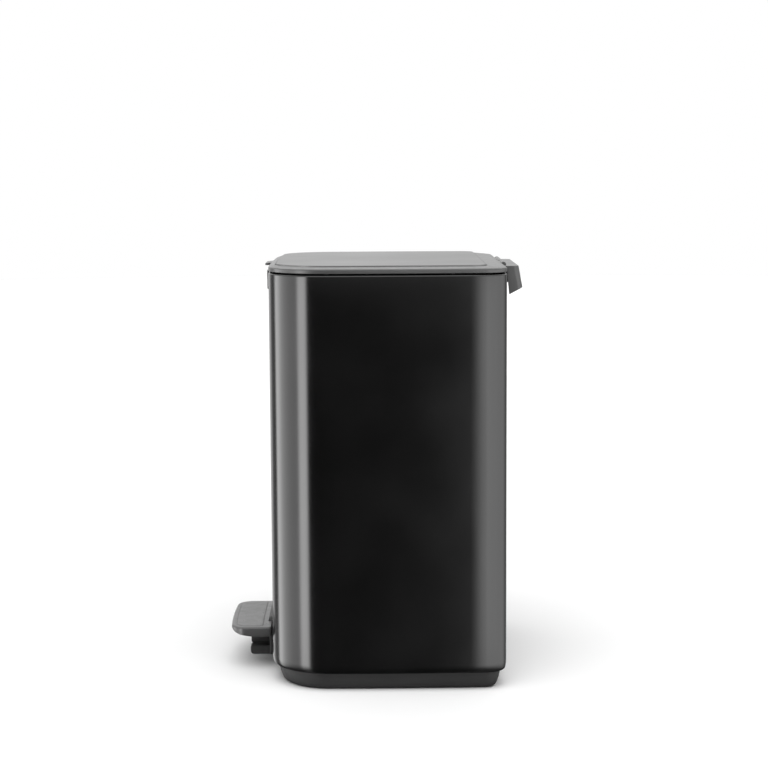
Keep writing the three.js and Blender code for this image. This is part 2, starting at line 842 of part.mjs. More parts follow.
function pushRod() {
  const strip = block(
    [-rodHalfWidth, rodHalfWidth],
    [rodY - rodThickness / 2, rodY + rodThickness / 2],
    [footZ, forkBottom + forkRoot / 2],
  );
  const footHalf = rodHalfWidth + footOverhang;
  const foot = round('x', footRadius, [-footHalf, footHalf], [rodY, footZ]);
  const head = block(
    [-forkHalfWidth, forkHalfWidth],
    [rodY - forkHalfDepth, rodY + forkHalfDepth],
    [forkBottom, forkTop],
  );
  const gapHalf = forkHalfWidth - forkProng;
  const gap = block(
    [-gapHalf, gapHalf],
    [rodY - 2 * forkHalfDepth, rodY + 2 * forkHalfDepth],
    [forkCrotch, forkTop + 1],
  );
  const pinHole = rodPinRadius + rodPinFit;
  const bore = round('x', pinHole, [-forkHalfWidth - 1, forkHalfWidth + 1], [rodY, rodPinZ]);
  return cut(joined(strip, foot, head), gap, bore);
}

place('push_rod', pushRod(), 'zincSteel');
place('rod_pin', round('x', rodPinRadius, [-forkHalfWidth, forkHalfWidth], [rodY, rodPinZ]), 'zincSteel');

// ---------------------------------------------------------------- rod cover, guides and damper
const coverHalfWidth = 19;
const coverWall = 1.5;
const coverSetback = 2.5;
const coverFront = crankFront + coverSetback;
const coverAboveFloor = 7;
const coverBottom = bucketFloorHeight + coverAboveFloor;
const coverBelowFork = 8;
const coverTop = forkBottom - coverBelowFork;
const guideHeight = 8;
const guideWall = 2.5;
const guideHalfWidth = rodHalfWidth + runningGap + guideWall;
const guideSetback = 2;
const lowerGuideRise = 20;
const upperGuideDrop = 30;

function rodCover() {
  const back = wallInside - 2 * fixedGap;
  const inside = coverHalfWidth - coverWall;
  const outer = block(
    [-coverHalfWidth, coverHalfWidth],
    [coverFront, back],
    [coverBottom, coverTop],
  );
  const hollow = block(
    [-inside, inside],
    [coverFront + coverWall, back + 1],
    [coverBottom - 1, coverTop + 1],
  );
  return cut(outer, hollow);
}

place('rod_cover', rodCover(), 'darkPlastic');

const upperGuideBottom = coverTop - upperGuideDrop;
const guideBottoms = [
  ['lower', coverBottom + lowerGuideRise],
  ['upper', upperGuideBottom],
];
guideBottoms.forEach(([level, bottom]) => {
  const back = wallInside - fixedGap;
  const outer = block(
    [-guideHalfWidth, guideHalfWidth],
    [coverFront + coverWall + guideSetback, back],
    [bottom, bottom + guideHeight],
  );
  const channel = block(
    [-rodHalfWidth - runningGap, rodHalfWidth + runningGap],
    [rodY - rodThickness / 2 - runningGap, rodY + rodThickness / 2 + runningGap],
    [bottom - 1, bottom + guideHeight + 1],
  );
  place(`rod_guide_${level}`, cut(outer, channel), 'darkPlastic');
});

const damperX = 11.5;
const damperBehindRod = 3.6;
const damperY = rodY + damperBehindRod;
const damperRadius = 4.4;
const damperBelowGuide = 131;
const damperBottom = upperGuideBottom - damperBelowGuide;
const damperLength = 60;
const damperCap = 4;
const bracketHalfWidth = 3;
const bracketSpan = [15, 45];
const plungerRadius = 1.8;
const plungerBite = 40;
const plungerReach = 12;
const armHeight = 4;

function damperCylinder() {
  const top = damperBottom + damperLength;
  const barrel = round('z', damperRadius, [damperBottom, top], [damperX, damperY]);
  const bracket = block(
    [damperX - bracketHalfWidth, damperX + bracketHalfWidth],
    [damperY, wallInside - fixedGap],
    bracketSpan.map((rise) => damperBottom + rise),
  );
  const boreSpan = [damperBottom + damperCap, top + 1];
  const bore = round('z', plungerRadius + runningGap, boreSpan, [damperX, damperY]);
  return cut(joined(barrel, bracket), bore);
}

function damperPlunger() {
  const top = damperBottom + damperLength;
  const end = top + plungerReach;
  const rod = round('z', plungerRadius, [top - plungerBite, end], [damperX, damperY]);
  const arm = block(
    [rodHalfWidth + fixedGap, damperX + plungerRadius],
    [rodY - rodThickness / 2, damperY + plungerRadius],
    [end - armHeight, end],
  );
  return joined(rod, arm);
}

place('damper_cylinder', damperCylinder(), 'darkPlastic');
place('damper_plunger', damperPlunger(), 'zincSteel');

// ---------------------------------------------------------------- pedal
const padBackY = -(halfDepth + padGap);
const padNotchY = guardFrontY - padClearance;
const neckFrontY = -(halfDepth + neckReach);
const leverBottom = axleHeight - leverThickness / 2;
const leverSetback = 3;
const leverFrontY = neckFrontY + leverSetback;
const leverPastRod = 5;
const leverBackY = rodY + leverPastRod;
const pedalScrewPitch = 7.5;
const pedalScrews = [
  ['front', neckFrontY + pedalScrewPitch],
  ['rear', neckFrontY + 2 * pedalScrewPitch],
];
const pedalScrewBite = 10;
const treadRise = 0.3;
const treadTop = padTop + treadRise;

function padOutline(inset) {
  const half = padWidth / 2 - inset;
  const front = padTipY + inset;
  const back = inset > 0 ? padNotchY - inset : padBackY;
  const outline = roundedPlan(half, front, back, padCornerRadius - inset, 2);
  return outline.map(({ x, y }) => {
    const nearFront = (padBackY - y) / (padBackY - padTipY);
    return point(x, y + nearFront * padBow * (x / half) ** 2);
  });
}

function pedalPad() {
  const under = padTop - padThickness;
  const side = [
    point(padBackY, under),
    point(padBackY, padTop),
    point(padTipY + 2.5, padTop),
    point(padTipY + 0.7, padTop - 0.8),
    point(padTipY, padTop - 2.4),
    point(padTipY + 0.9, padTop - 4),
    point(padTipY + 4, under + 3.4),
    point(padTipY + 11, under + 1.1),
    point(padTipY + 24, under),
  ];
  const half = padWidth / 2;
  const pad = across(side, [-half, half]).intersect(raised(padOutline(0), [0, 2 * padTop]));
  const notchHalf = guardHalfWidth + padClearance;
  const guardNotch = block([-notchHalf, notchHalf], [padNotchY, 0], [under - 1, padTop + 1]);
  const neck = block([-neckHalfWidth, neckHalfWidth], [neckFrontY, padBackY + 3], [leverBottom, under + 1]);
  const neckTop = block(
    [-neckHalfWidth, neckHalfWidth],
    [neckFrontY, padNotchY],
    [leverBottom, under + 2],
  );
  const leverGroove = block(
    [-leverHalfWidth - fixedGap, leverHalfWidth + fixedGap],
    [leverFrontY - fixedGap, 0],
    [0, leverTop + fixedGap],
  );
  const treadSeat = raised(
    padOutline(treadInset - fixedGap),
    [treadTop - treadThickness - fixedGap, 2 * padTop],
  );
  const holes = pedalScrews.map(([, y]) => round(
    'z',
    screwHole,
    [leverTop, leverTop + pedalScrewBite + fixedGap],
    [0, y],
  ));
  return cut(joined(cut(pad, guardNotch), neck, neckTop), leverGroove, treadSeat, ...holes);
}

place('pedal_pad', pedalPad(), 'greyPlastic');
const tread = raised(padOutline(treadInset), [treadTop - treadThickness, treadTop]);
place('pedal_tread', tread, 'greyPlastic');

const leverRib = 2;
const leverRibDrop = 4;
const leverRibShort = 12;
const bossWall = 2.6;
const clipWall = 2.4;
const clipThickness = 1.2;
const clipFit = 0.1;

function pedalLever() {
  const strap = block(
    [-leverHalfWidth, leverHalfWidth],
    [leverFrontY, leverBackY],
    [leverBottom, leverTop],
  );
  const ribs = LEFT_AND_RIGHT.map(([, sign]) => {
    const outer = sign * leverHalfWidth;
    const inner = sign * (leverHalfWidth - leverRib);
    return block(
      [Math.min(inner, outer), Math.max(inner, outer)],
      [axleY, rodY - leverRibShort],
      [leverBottom - leverRibDrop, leverBottom + leverThickness / 4],
    );
  });
  const axlePlace = [axleY, axleHeight];
  const boss = round('x', axleRadius + bossWall, [-leverHalfWidth, leverHalfWidth], axlePlace);
  const boreHalf = leverHalfWidth + 1;
  const bore = round('x', axleRadius + runningGap, [-boreHalf, boreHalf], axlePlace);
  const headRoom = leverBottom + screwHeadHeight + 2 * fixedGap;
  const holes = pedalScrews.flatMap(([, y]) => [
    round('z', screwHole, [leverBottom - 1, leverTop + 1], [0, y]),
    round('z', screwHead + fixedGap, [leverBottom - 1, headRoom], [0, y]),
  ]);
  return cut(joined(strap, ...ribs, boss), bore, ...holes);
}

place('pedal_lever', pedalLever(), 'zincSteel');

pedalScrews.forEach(([end, y]) => {
  const start = leverBottom + screwHeadHeight + fixedGap;
  const length = leverTop + pedalScrewBite - start;
  place(`pedal_screw_${end}`, screw('z', [0, y], start, length, 1), 'zincSteel');
});

const axle = round('x', axleRadius, [-axleLength / 2, axleLength / 2], [axleY, axleHeight]);
place('pedal_axle', axle, 'zincSteel');

LEFT_AND_RIGHT.forEach(([side, sign]) => {
  const from = sign * (lugOuter + fixedGap);
  const to = sign * (lugOuter + fixedGap + clipThickness);
  const ends = [Math.min(from, to), Math.max(from, to)];
  const disc = round('x', axleRadius + clipWall, ends, [axleY, axleHeight]);
  const hole = round('x', axleRadius + clipFit, [ends[0] - 1, ends[1] + 1], [axleY, axleHeight]);
  place(`axle_clip_${side}`, cut(disc, hole), 'zincSteel');
});

export default trashCan;
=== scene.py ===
"""Pedal trash can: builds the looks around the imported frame.

Each piece has an operator of its own, and the panel in the 3D view's sidebar lists them.
Sizes are metres in the frame's axes: the pedal faces -Y, the carry handle +Y, and X is across.
"""

import math

import bmesh
import bpy
from bpy.props import FloatProperty, FloatVectorProperty, PointerProperty
from mathutils import Matrix, Vector


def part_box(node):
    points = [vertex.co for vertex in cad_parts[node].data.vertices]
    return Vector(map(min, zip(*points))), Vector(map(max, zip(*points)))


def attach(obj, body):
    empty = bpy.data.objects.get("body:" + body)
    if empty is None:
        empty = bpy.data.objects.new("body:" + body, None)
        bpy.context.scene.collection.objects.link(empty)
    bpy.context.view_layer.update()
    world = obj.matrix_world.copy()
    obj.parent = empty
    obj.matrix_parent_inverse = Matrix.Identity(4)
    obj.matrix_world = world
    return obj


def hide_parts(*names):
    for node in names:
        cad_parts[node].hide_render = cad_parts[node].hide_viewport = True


bl_info = {
    "name": "Pedal trash can",
    "version": (1, 0, 0),
    "blender": (4, 5, 0),
    "location": "View3D > Sidebar > Trash can",
    "description": "Builds a pedal trash can around its packed frame",
    "category": "Object",
}

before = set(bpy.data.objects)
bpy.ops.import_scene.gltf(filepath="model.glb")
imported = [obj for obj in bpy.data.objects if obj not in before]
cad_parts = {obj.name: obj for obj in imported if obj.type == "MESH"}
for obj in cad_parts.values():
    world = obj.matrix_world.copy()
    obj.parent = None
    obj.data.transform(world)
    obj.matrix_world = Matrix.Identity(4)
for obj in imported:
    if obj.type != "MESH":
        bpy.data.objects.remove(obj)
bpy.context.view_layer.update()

MM = 0.001

shell_low, shell_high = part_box("body_shell")
HALF_WIDTH = 135 * MM
HALF_DEPTH = (shell_high.y - shell_low.y) / 2
MIDDLE = (shell_high.y + shell_low.y) / 2

FRONT_STEPS = 18
BACK_STEPS = 8
SIDE_CUTS = 9
TOUCH = 1e-6
APART = 0.05


# ---------------------------------------------------------------- sizes and colours
class TrashCanSizes(bpy.types.PropertyGroup):
    """Sizes of the visible pieces"""

    front_corner: FloatProperty(
        name="Front corner radius",
        description="Radius of the body's two front corners, seen from above",
        default=53 * MM,
        unit="LENGTH",
    )
    back_corner: FloatProperty(
        name="Back corner radius",
        description="Radius of the body's two back corners, seen from above",
        default=20 * MM,
        unit="LENGTH",
    )
    side_bow: FloatProperty(
        name="Side bow",
        description="How far each side falls back towards the front and the back",
        default=2.6 * MM,
        unit="LENGTH",
    )
    front_bow: FloatProperty(
        name="Front bow",
        description="How far the front falls back towards its corners",
        default=2.4 * MM,
        unit="LENGTH",
    )
    rim_round: FloatProperty(
        name="Lid rim rounding",
        description="Radius of the lid rim's outer top edge",
        default=1.3 * MM,
        unit="LENGTH",
    )
    pad_round: FloatProperty(
        name="Pedal rounding",
        description="Radius of the pedal pad's edges",
        default=2 * MM,
        unit="LENGTH",
    )


class TrashCanColours(bpy.types.PropertyGroup):
    """Colours of the finishes, as linear values"""

    lacquer: FloatVectorProperty(
        name="Body lacquer",
        description="Colour of the steel body's black lacquer",
        default=(0.004, 0.004, 0.004),
        subtype="COLOR",
        min=0,
        max=1,
    )
    plate: FloatVectorProperty(
        name="Lid plate",
        description="Colour of the lid's satin metal plate",
        default=(0.12, 0.12, 0.12),
        subtype="COLOR",
        min=0,
        max=1,
    )
    grey_plastic: FloatVectorProperty(
        name="Grey plastic",
        description="Colour of the lid rim, handle, badge and pedal",
        default=(0.066, 0.066, 0.066),
        subtype="COLOR",
        min=0,
        max=1,
    )
    dark_plastic: FloatVectorProperty(
        name="Dark plastic",
        description="Colour of the base, collar and pedal guard",
        default=(0.03, 0.03, 0.03),
        subtype="COLOR",
        min=0,
        max=1,
    )
    bucket: FloatVectorProperty(
        name="Inner bucket",
        description="Colour of the bucket and the lid's lining",
        default=(0.045, 0.045, 0.046),
        subtype="COLOR",
        min=0,
        max=1,
    )


def sizes():
    return bpy.context.scene.trash_can_sizes


def colours():
    return bpy.context.scene.trash_can_colours


# ---------------------------------------------------------------- working on a mesh
def leave():
    """Back to object mode with nothing selected."""
    if bpy.context.object and bpy.context.object.mode != "OBJECT":
        bpy.ops.object.mode_set(mode="OBJECT")
    bpy.ops.object.select_all(action="DESELECT")


def take(obj):
    """Makes obj the only selected object."""
    leave()
    obj.select_set(True)
    bpy.context.view_layer.objects.active = obj


class Editing:
    """Edit mode on one object, and back out of it."""

    def __init__(self, obj):
        self.obj = obj

    def __enter__(self):
        take(self.obj)
        bpy.ops.object.mode_set(mode="EDIT")
        return self.obj

    def __exit__(self, *_):
        bpy.ops.object.mode_set(mode="OBJECT")


def select(obj, kind, test):
    """Selects the shown points, edges or faces that pass the test, and nothing else."""
    bpy.ops.mesh.select_mode(type=kind)
    bpy.ops.mesh.select_all(action="DESELECT")
    mesh = bmesh.from_edit_mesh(obj.data)
    items = {"VERT": mesh.verts, "EDGE": mesh.edges, "FACE": mesh.faces}[kind]
    chosen = [item for item in items if not item.hide and test(item)]
    for item in chosen:
        item.select_set(True)
    mesh.select_flush_mode()
    bmesh.update_edit_mesh(obj.data)
    return len(chosen)


def middle_of(edge):
    return (edge.verts[0].co + edge.verts[1].co) / 2


def runs_along(edge, axis):
    line = edge.verts[1].co - edge.verts[0].co
    return abs(abs(line[axis]) - line.length) < 1e-4 * line.length


def block(name, low, high):
    """A block between two corners."""
    leave()
    centre = [(a + b) / 2 for a, b in zip(low, high)]
    bpy.ops.mesh.primitive_cube_add(size=1, location=centre)
    obj = bpy.context.object
    obj.name = obj.data.name = name
    obj.scale = [b - a for a, b in zip(low, high)]
    bpy.ops.object.transform_apply(location=True, rotation=True, scale=True)
    return obj


def bar(name, start, end, radius, sides=48):
    """A round bar along one axis, from one point to another."""
    leave()
    start, end = Vector(start), Vector(end)
    line = end - start
    turn = line.to_track_quat("Z", "Y").to_euler()
    bpy.ops.mesh.primitive_cylinder_add(
        vertices=sides, radius=radius, depth=line.length, location=(start + end) / 2, rotation=turn
    )
    obj = bpy.context.object
    obj.name = obj.data.name = name
    bpy.ops.object.transform_apply(location=True, rotation=True, scale=True)
    return obj


def round_edges(obj, test, radius, steps=4):
    """Rounds the edges that pass the test."""
    with Editing(obj):
        if not select(obj, "EDGE", test):
            raise RuntimeError(f"{obj.name}: no edge to round")
        bpy.ops.mesh.bevel(offset=radius, segments=steps, affect="EDGES", profile=0.5)
    return obj


def slice_off(obj, place, direction):
    """Cuts away what lies beyond a plane and closes the cut."""
    with Editing(obj):
        bpy.ops.mesh.select_all(action="SELECT")
        bpy.ops.mesh.bisect(
            plane_co=place,
            plane_no=Vector(direction).normalized(),
            clear_outer=True,
            use_fill=True,
            threshold=1e-7,
        )
        bpy.ops.mesh.select_all(action="SELECT")
        bpy.ops.mesh.normals_make_consistent(inside=False)
    return obj


def combine(obj, tool, how):
    """Joins or cuts with a tool object, and drops the tool."""
    take(obj)
    modifier = obj.modifiers.new("Combine", "BOOLEAN")
    modifier.operation = how
    modifier.solver = "EXACT"
    modifier.object = tool
    bpy.ops.object.modifier_apply(modifier=modifier.name)
    bpy.data.objects.remove(tool)
    return obj


def add(obj, tool):
    return combine(obj, tool, "UNION")


def cut(obj, tool):
    return combine(obj, tool, "DIFFERENCE")


def smooth(obj, angle=32):
    """Merges doubled points and shades smooth up to an angle."""
    with Editing(obj):
        bpy.ops.mesh.select_all(action="SELECT")
        bpy.ops.mesh.remove_doubles(threshold=2e-6)
    take(obj)
    bpy.ops.object.shade_smooth_by_angle(angle=math.radians(angle))
    return obj


# ---------------------------------------------------------------- shapes on the body's plan
def outline(obj, half, front, back, front_radius, back_radius, height):
    """Adds one rounded outline to the mesh in edit mode. What is there already is hidden."""
    centre = (0, (front + back) / 2, height)
    bpy.ops.mesh.primitive_plane_add(size=1, location=centre)
    bpy.ops.transform.resize(value=(2 * half, back - front, 1), center_override=centre)
    for edge_y, radius, steps in (
        (front, front_radius, FRONT_STEPS),
        (back, back_radius, BACK_STEPS),
    ):
        select(obj, "VERT", lambda v: abs(v.co.y - edge_y) < TOUCH)
        bpy.ops.mesh.bevel(
            offset=radius, segments=steps, affect="VERTICES", profile=0.5, clamp_overlap=False
        )
    select(obj, "EDGE", lambda e: runs_along(e, 0) or runs_along(e, 1))
    bpy.ops.mesh.subdivide(number_cuts=SIDE_CUTS)


def stack(name, levels, ring, outline_at):
    """A skin over rounded outlines. outline_at gives each level's outline sizes and its height. A
    ring joins its last level to its first, and any other stack is closed at both ends. The levels
    are bridged well apart, since outlines at one height bridge crosswise, and then settle."""
    leave()
    bpy.ops.mesh.primitive_plane_add(size=1)
    obj = bpy.context.object
    obj.name = obj.data.name = name
    with Editing(obj):
        bpy.ops.mesh.select_all(action="SELECT")
        bpy.ops.mesh.delete(type="VERT")
        mesh = bmesh.from_edit_mesh(obj.data)
        mesh.verts.layers.int.new("level")
        bmesh.update_edit_mesh(obj.data)
        heights = []
        for index, level in enumerate(levels):
            *plan, height = outline_at(level)
            heights.append(height)
            outline(obj, *plan, index * APART)
            mesh = bmesh.from_edit_mesh(obj.data)
            mark = mesh.verts.layers.int["level"]
            for vert in mesh.verts:
                if not vert.hide:
                    vert[mark] = index
            bmesh.update_edit_mesh(obj.data)
            bpy.ops.mesh.select_mode(type="VERT")
            bpy.ops.mesh.select_all(action="SELECT")
            bpy.ops.mesh.hide()
        bpy.ops.mesh.reveal(select=True)
        bpy.ops.mesh.delete(type="ONLY_FACE")
        count = len(levels)

        def pick_levels(*wanted):
            mark = bmesh.from_edit_mesh(obj.data).verts.layers.int["level"]

            def on_level(edge):
                first, second = (vert[mark] for vert in edge.verts)
                return first == second and first in wanted

            select(obj, "EDGE", on_level)

        for index in range(count if ring else count - 1):
            pick_levels(index, (index + 1) % count)
            bpy.ops.mesh.bridge_edge_loops(type="SINGLE")
        if not ring:
            for end in (0, count - 1):
                pick_levels(end)
                bpy.ops.mesh.edge_face_add()
        for index, height in enumerate(heights):
            mark = bmesh.from_edit_mesh(obj.data).verts.layers.int["level"]
            select(obj, "VERT", lambda v: v[mark] == index)
            bpy.ops.transform.translate(value=(0, 0, height - index * APART))
        face_outwards(obj, count)
    obj.data.attributes.remove(obj.data.attributes["level"])
    return obj


def face_outwards(obj, count):
    """Turns the faces of a skin over outlines, in edit mode, away from the material. Working out
    the sides from the middle outwards would turn a thin wall's inner side round."""
    mesh = bmesh.from_edit_mesh(obj.data)
    mesh.normal_update()
    mark = mesh.verts.layers.int["level"]
    centre = sum((vert.co for vert in mesh.verts), Vector()) / len(mesh.verts)

    def turned(face):
        marks = sorted({vert[mark] for vert in face.verts})
        if len(marks) == 1:
            return face.normal.z * (1 if marks[0] else -1) < 0
        if marks == [0, count - 1] and count > 2:
            marks.reverse()
        places = [[vert.co for vert in face.verts if vert[mark] == level] for level in marks]
        start, end = (sum(group, Vector()) / len(group) for group in places)
        out = face.calc_center_median() - centre
        out.z = 0
        step = end - start
        return face.normal.dot(out * step.z - Vector((0, 0, out.dot(step)))) < 0

    select(obj, "FACE", turned)
    bpy.ops.mesh.flip_normals()
    if bmesh.from_edit_mesh(obj.data).calc_volume(signed=True) < 0:
        bpy.ops.mesh.select_all(action="SELECT")
        bpy.ops.mesh.flip_normals()


def bow_cage():
    """A lattice round the body that bows its sides and its front."""
    leave()
    bpy.ops.object.add(type="LATTICE", location=(0, MIDDLE, 0.2))
    cage = bpy.context.object
    cage.scale = (0.3, 0.26, 0.5)
    cage.data.points_u, cage.data.points_v, cage.data.points_w = 13, 13, 2
    cage.data.interpolation_type_u = "KEY_CATMULL_ROM"
    cage.data.interpolation_type_v = "KEY_CATMULL_ROM"
    side, front = sizes().side_bow, sizes().front_bow
    for point in cage.data.points:
        x, y = point.co.x * cage.scale.x, point.co.y * cage.scale.y
        narrow = side / HALF_WIDTH * (y / HALF_DEPTH) ** 2
        short = front / HALF_DEPTH * (x / HALF_WIDTH) ** 2 if y < 0 else 0
        point.co_deform.x = point.co.x * (1 - narrow)
        point.co_deform.y = point.co.y * (1 - short)
    return cage


def bow(obj):
    """Gives a piece the body's bowed sides."""
    cage = bow_cage()
    take(obj)
    modifier = obj.modifiers.new("Bow", "LATTICE")
    modifier.object = cage
    bpy.ops.object.modifier_apply(modifier=modifier.name)
    bpy.data.objects.remove(cage)
    return obj


def on_plan(name, levels, ring=False):
    """A piece that follows the body's plan. Each level is (inset, height, back edge), in
    millimetres; a missing back edge is the body's own, drawn in by the inset."""
    front_radius, back_radius = sizes().front_corner, sizes().back_corner

    def outline_at(level):
        inset, height = level[0] * MM, level[1] * MM
        back = level[2] * MM if len(level) > 2 else HALF_DEPTH - inset
        return (
            HALF_WIDTH - inset,
            MIDDLE - HALF_DEPTH + inset,
            MIDDLE + back,
            max(front_radius - inset, back_radius / 2),
            max(back_radius - inset, back_radius / 4),
            height,
        )

    return bow(stack(name, levels, ring, outline_at))


def rounded(corner, start, radius, steps=5, to_top=True):
    """Levels round a quarter circle. corner is its centre (inset, height); start 0 is outwards,
    1 is up and 2 is inwards, each a quarter turn on."""
    inset, height = corner
    turns = range(steps + 1) if to_top else range(steps, -1, -1)
    levels = []
    for step in turns:
        angle = math.pi / 2 * (start + step / steps)
        levels.append((inset - radius * math.cos(angle), height + radius * math.sin(angle)))
    return levels


def settle(obj, body, slot, finish, *nodes):
    """Gives a finished piece its finish, its body and the nodes that it stands for. The slot argument is not
    used.
    """
    obj.data.materials.clear()
    obj.data.materials.append(bpy.data.materials[finish])
    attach(obj, body)
    if nodes:
        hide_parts(*nodes)
    return obj


# ---------------------------------------------------------------- finishes
class Finish:
    """A node material around one shader."""

    def __init__(self, name):
        self.material = bpy.data.materials.new(name)
        self.material.use_nodes = True
        self.nodes = self.material.node_tree.nodes
        self.links = self.material.node_tree.links
        self.shader = self.nodes["Principled BSDF"]
        self.place = self.nodes.new("ShaderNodeTexCoord").outputs["Object"]

    def set(self, **values):
        for name, value in values.items():
            self.shader.inputs[name.replace("_", " ")].default_value = value

    def stretched(self, scale):
        node = self.nodes.new("ShaderNodeMapping")
        node.inputs["Scale"].default_value = scale
        self.links.new(self.place, node.inputs["Vector"])
        return node.outputs["Vector"]

    def noise(self, scale, detail=3, rough=0.5, place=None):
        node = self.nodes.new("ShaderNodeTexNoise")
        node.inputs["Scale"].default_value = scale
        node.inputs["Detail"].default_value = detail
        node.inputs["Roughness"].default_value = rough
        self.links.new(place or self.place, node.inputs["Vector"])
        return node.outputs["Fac"]

    def cells(self, scale, feature="F1"):
        node = self.nodes.new("ShaderNodeTexVoronoi")
        node.feature = feature
        node.inputs["Scale"].default_value = scale
        self.links.new(self.place, node.inputs["Vector"])
        return node.outputs

    def spread(self, value, low, high, start=0.3, end=0.7):
        node = self.nodes.new("ShaderNodeMapRange")
        node.inputs["From Min"].default_value = start
        node.inputs["From Max"].default_value = end
        node.inputs["To Min"].default_value = low
        node.inputs["To Max"].default_value = high
        self.links.new(value, node.inputs["Value"])
        return node.outputs["Result"]

    def shade(self, value, dark, light):
        node = self.nodes.new("ShaderNodeMix")
        node.data_type = "RGBA"
        self.links.new(value, node.inputs["Factor"])
        node.inputs["A"].default_value = (*dark, 1)
        node.inputs["B"].default_value = (*light, 1)
        return node.outputs["Result"]

    def mixed(self, factor, first, second):
        node = self.nodes.new("ShaderNodeMix")
        node.data_type = "RGBA"
        self.links.new(factor, node.inputs["Factor"])
        self.links.new(first, node.inputs["A"])
        if isinstance(second, tuple):
            node.inputs["B"].default_value = (*second, 1)
        else:
            self.links.new(second, node.inputs["B"])
        return node.outputs["Result"]

    def maths(self, operation, first, second):
        node = self.nodes.new("ShaderNodeMath")
        node.operation = operation
        for value, socket in zip((first, second), node.inputs):
            if isinstance(value, (int, float)):
                socket.default_value = value
            else:
                self.links.new(value, socket)
        return node.outputs["Value"]

    def bump(self, height, depth, strength, under=None):
        node = self.nodes.new("ShaderNodeBump")
        node.inputs["Strength"].default_value = strength
        node.inputs["Distance"].default_value = depth
        self.links.new(height, node.inputs["Height"])
        if under:
            self.links.new(under, node.inputs["Normal"])
        return node.outputs["Normal"]

    def to(self, name, value):
        self.links.new(value, self.shader.inputs[name])


def tinted(colour, factor):
    return tuple(channel * factor for channel in colour)


def lacquer(name, colour):
    """Black lacquer on steel: a faint orange peel, patchy gloss and a few dull scuffs."""
    finish = Finish(name)
    finish.set(Metallic=0.0, IOR=1.5)
    finish.set(**{"Specular IOR Level": 0.5})
    clouds = finish.noise(14, 4)
    specks = finish.noise(900, 2, 0.6)
    cloud_tone = finish.spread(clouds, 0, 1)
    finish.to("Base Color", finish.shade(cloud_tone, tinted(colour, 0.7), tinted(colour, 1.4)))
    motes = finish.noise(160, 6, 0.7, finish.stretched((1, 1, 0.35)))
    dust = finish.spread(motes, 0, 1, 0.62, 0.8)
    gloss = finish.maths("ADD", finish.spread(clouds, 0.14, 0.17), finish.maths("MULTIPLY", dust, 0.05))
    finish.to("Roughness", gloss)
    peel = finish.noise(420, 2, 0.5)
    finish.to("Normal", finish.bump(specks, 0.00002, 0.12, finish.bump(peel, 0.0001, 0.05)))
    return finish.material


def moulded(name, colour, rough, grain=1.0):
    """Moulded plastic: a fine spark-eroded grain, cloudy tone and slightly polished patches."""
    finish = Finish(name)
    finish.set(Metallic=0.0, IOR=1.47 if rough < 0.4 else 1.38)
    clouds = finish.noise(22, 4, 0.55)
    flow = finish.noise(60, 3, 0.5, finish.stretched((1, 0.3, 1)))
    tone = finish.maths("MULTIPLY", finish.maths("ADD", clouds, flow), 0.5)
    toned = finish.spread(tone, 0, 1, 0.35, 0.65)
    finish.to("Base Color", finish.shade(toned, tinted(colour, 0.86), tinted(colour, 1.12)))
    finish.to("Roughness", finish.spread(finish.noise(130, 5, 0.65), rough - 0.05, rough + 0.06))
    fine = finish.noise(2600, 2, 0.6)
    coarse = finish.cells(1500)["Distance"]
    broad = finish.bump(coarse, 0.00003, 0.05 * grain)
    finish.to("Normal", finish.bump(fine, 0.00002, 0.08 * grain, broad))
    return finish.material


def satin_metal(name, colour):
    """Satin plate: brushed along its length."""
    finish = Finish(name)
    finish.set(Metallic=1.0, IOR=1.5, Anisotropic=0.3)
    lines = finish.noise(1400, 3, 0.6, finish.stretched((1, 0.012, 1)))
    clouds = finish.noise(9, 3)
    tone = finish.shade(finish.spread(lines, 0, 1), tinted(colour, 0.88), tinted(colour, 1.12))
    finish.to("Base Color", tone)
    sheen = finish.spread(clouds, 0.3, 0.36)
    brush_marks = finish.spread(lines, -0.03, 0.03)
    finish.to("Roughness", finish.maths("ADD", sheen, brush_marks))
    finish.to("Normal", finish.bump(lines, 0.00002, 0.15))
    return finish.material


def zinc(name):
    """Zinc plating: patchy crystals, rolling lines and dull spots."""
    finish = Finish(name)
    finish.set(Metallic=1.0)
    crystals = finish.cells(220)["Color"]
    patch = finish.spread(crystals, 0, 1, 0.0, 1.0)
    lines = finish.noise(900, 3, 0.6, finish.stretched((1, 0.03, 0.2)))
    finish.to("Base Color", finish.shade(patch, (0.42, 0.43, 0.44), (0.6, 0.61, 0.62)))
    sheen = finish.spread(patch, 0.26, 0.36, 0, 1)
    brush_marks = finish.spread(lines, -0.04, 0.05)
    finish.to("Roughness", finish.maths("ADD", sheen, brush_marks))
    finish.to("Normal", finish.bump(lines, 0.00003, 0.2))
    return finish.material


def rubber(name):
    """Black rubber with a dry, speckled surface."""
    finish = Finish(name)
    finish.set(Metallic=0.0, IOR=1.45)
    specks = finish.noise(1800, 4, 0.7)
    clouds = finish.noise(40, 3)
    cloud_tone = finish.spread(clouds, 0, 1)
    finish.to("Base Color", finish.shade(cloud_tone, (0.014, 0.014, 0.015), (0.026, 0.026, 0.027)))
    finish.to("Roughness", finish.spread(specks, 0.72, 0.9))
    finish.to("Normal", finish.bump(specks, 0.00008, 0.3))
    return finish.material


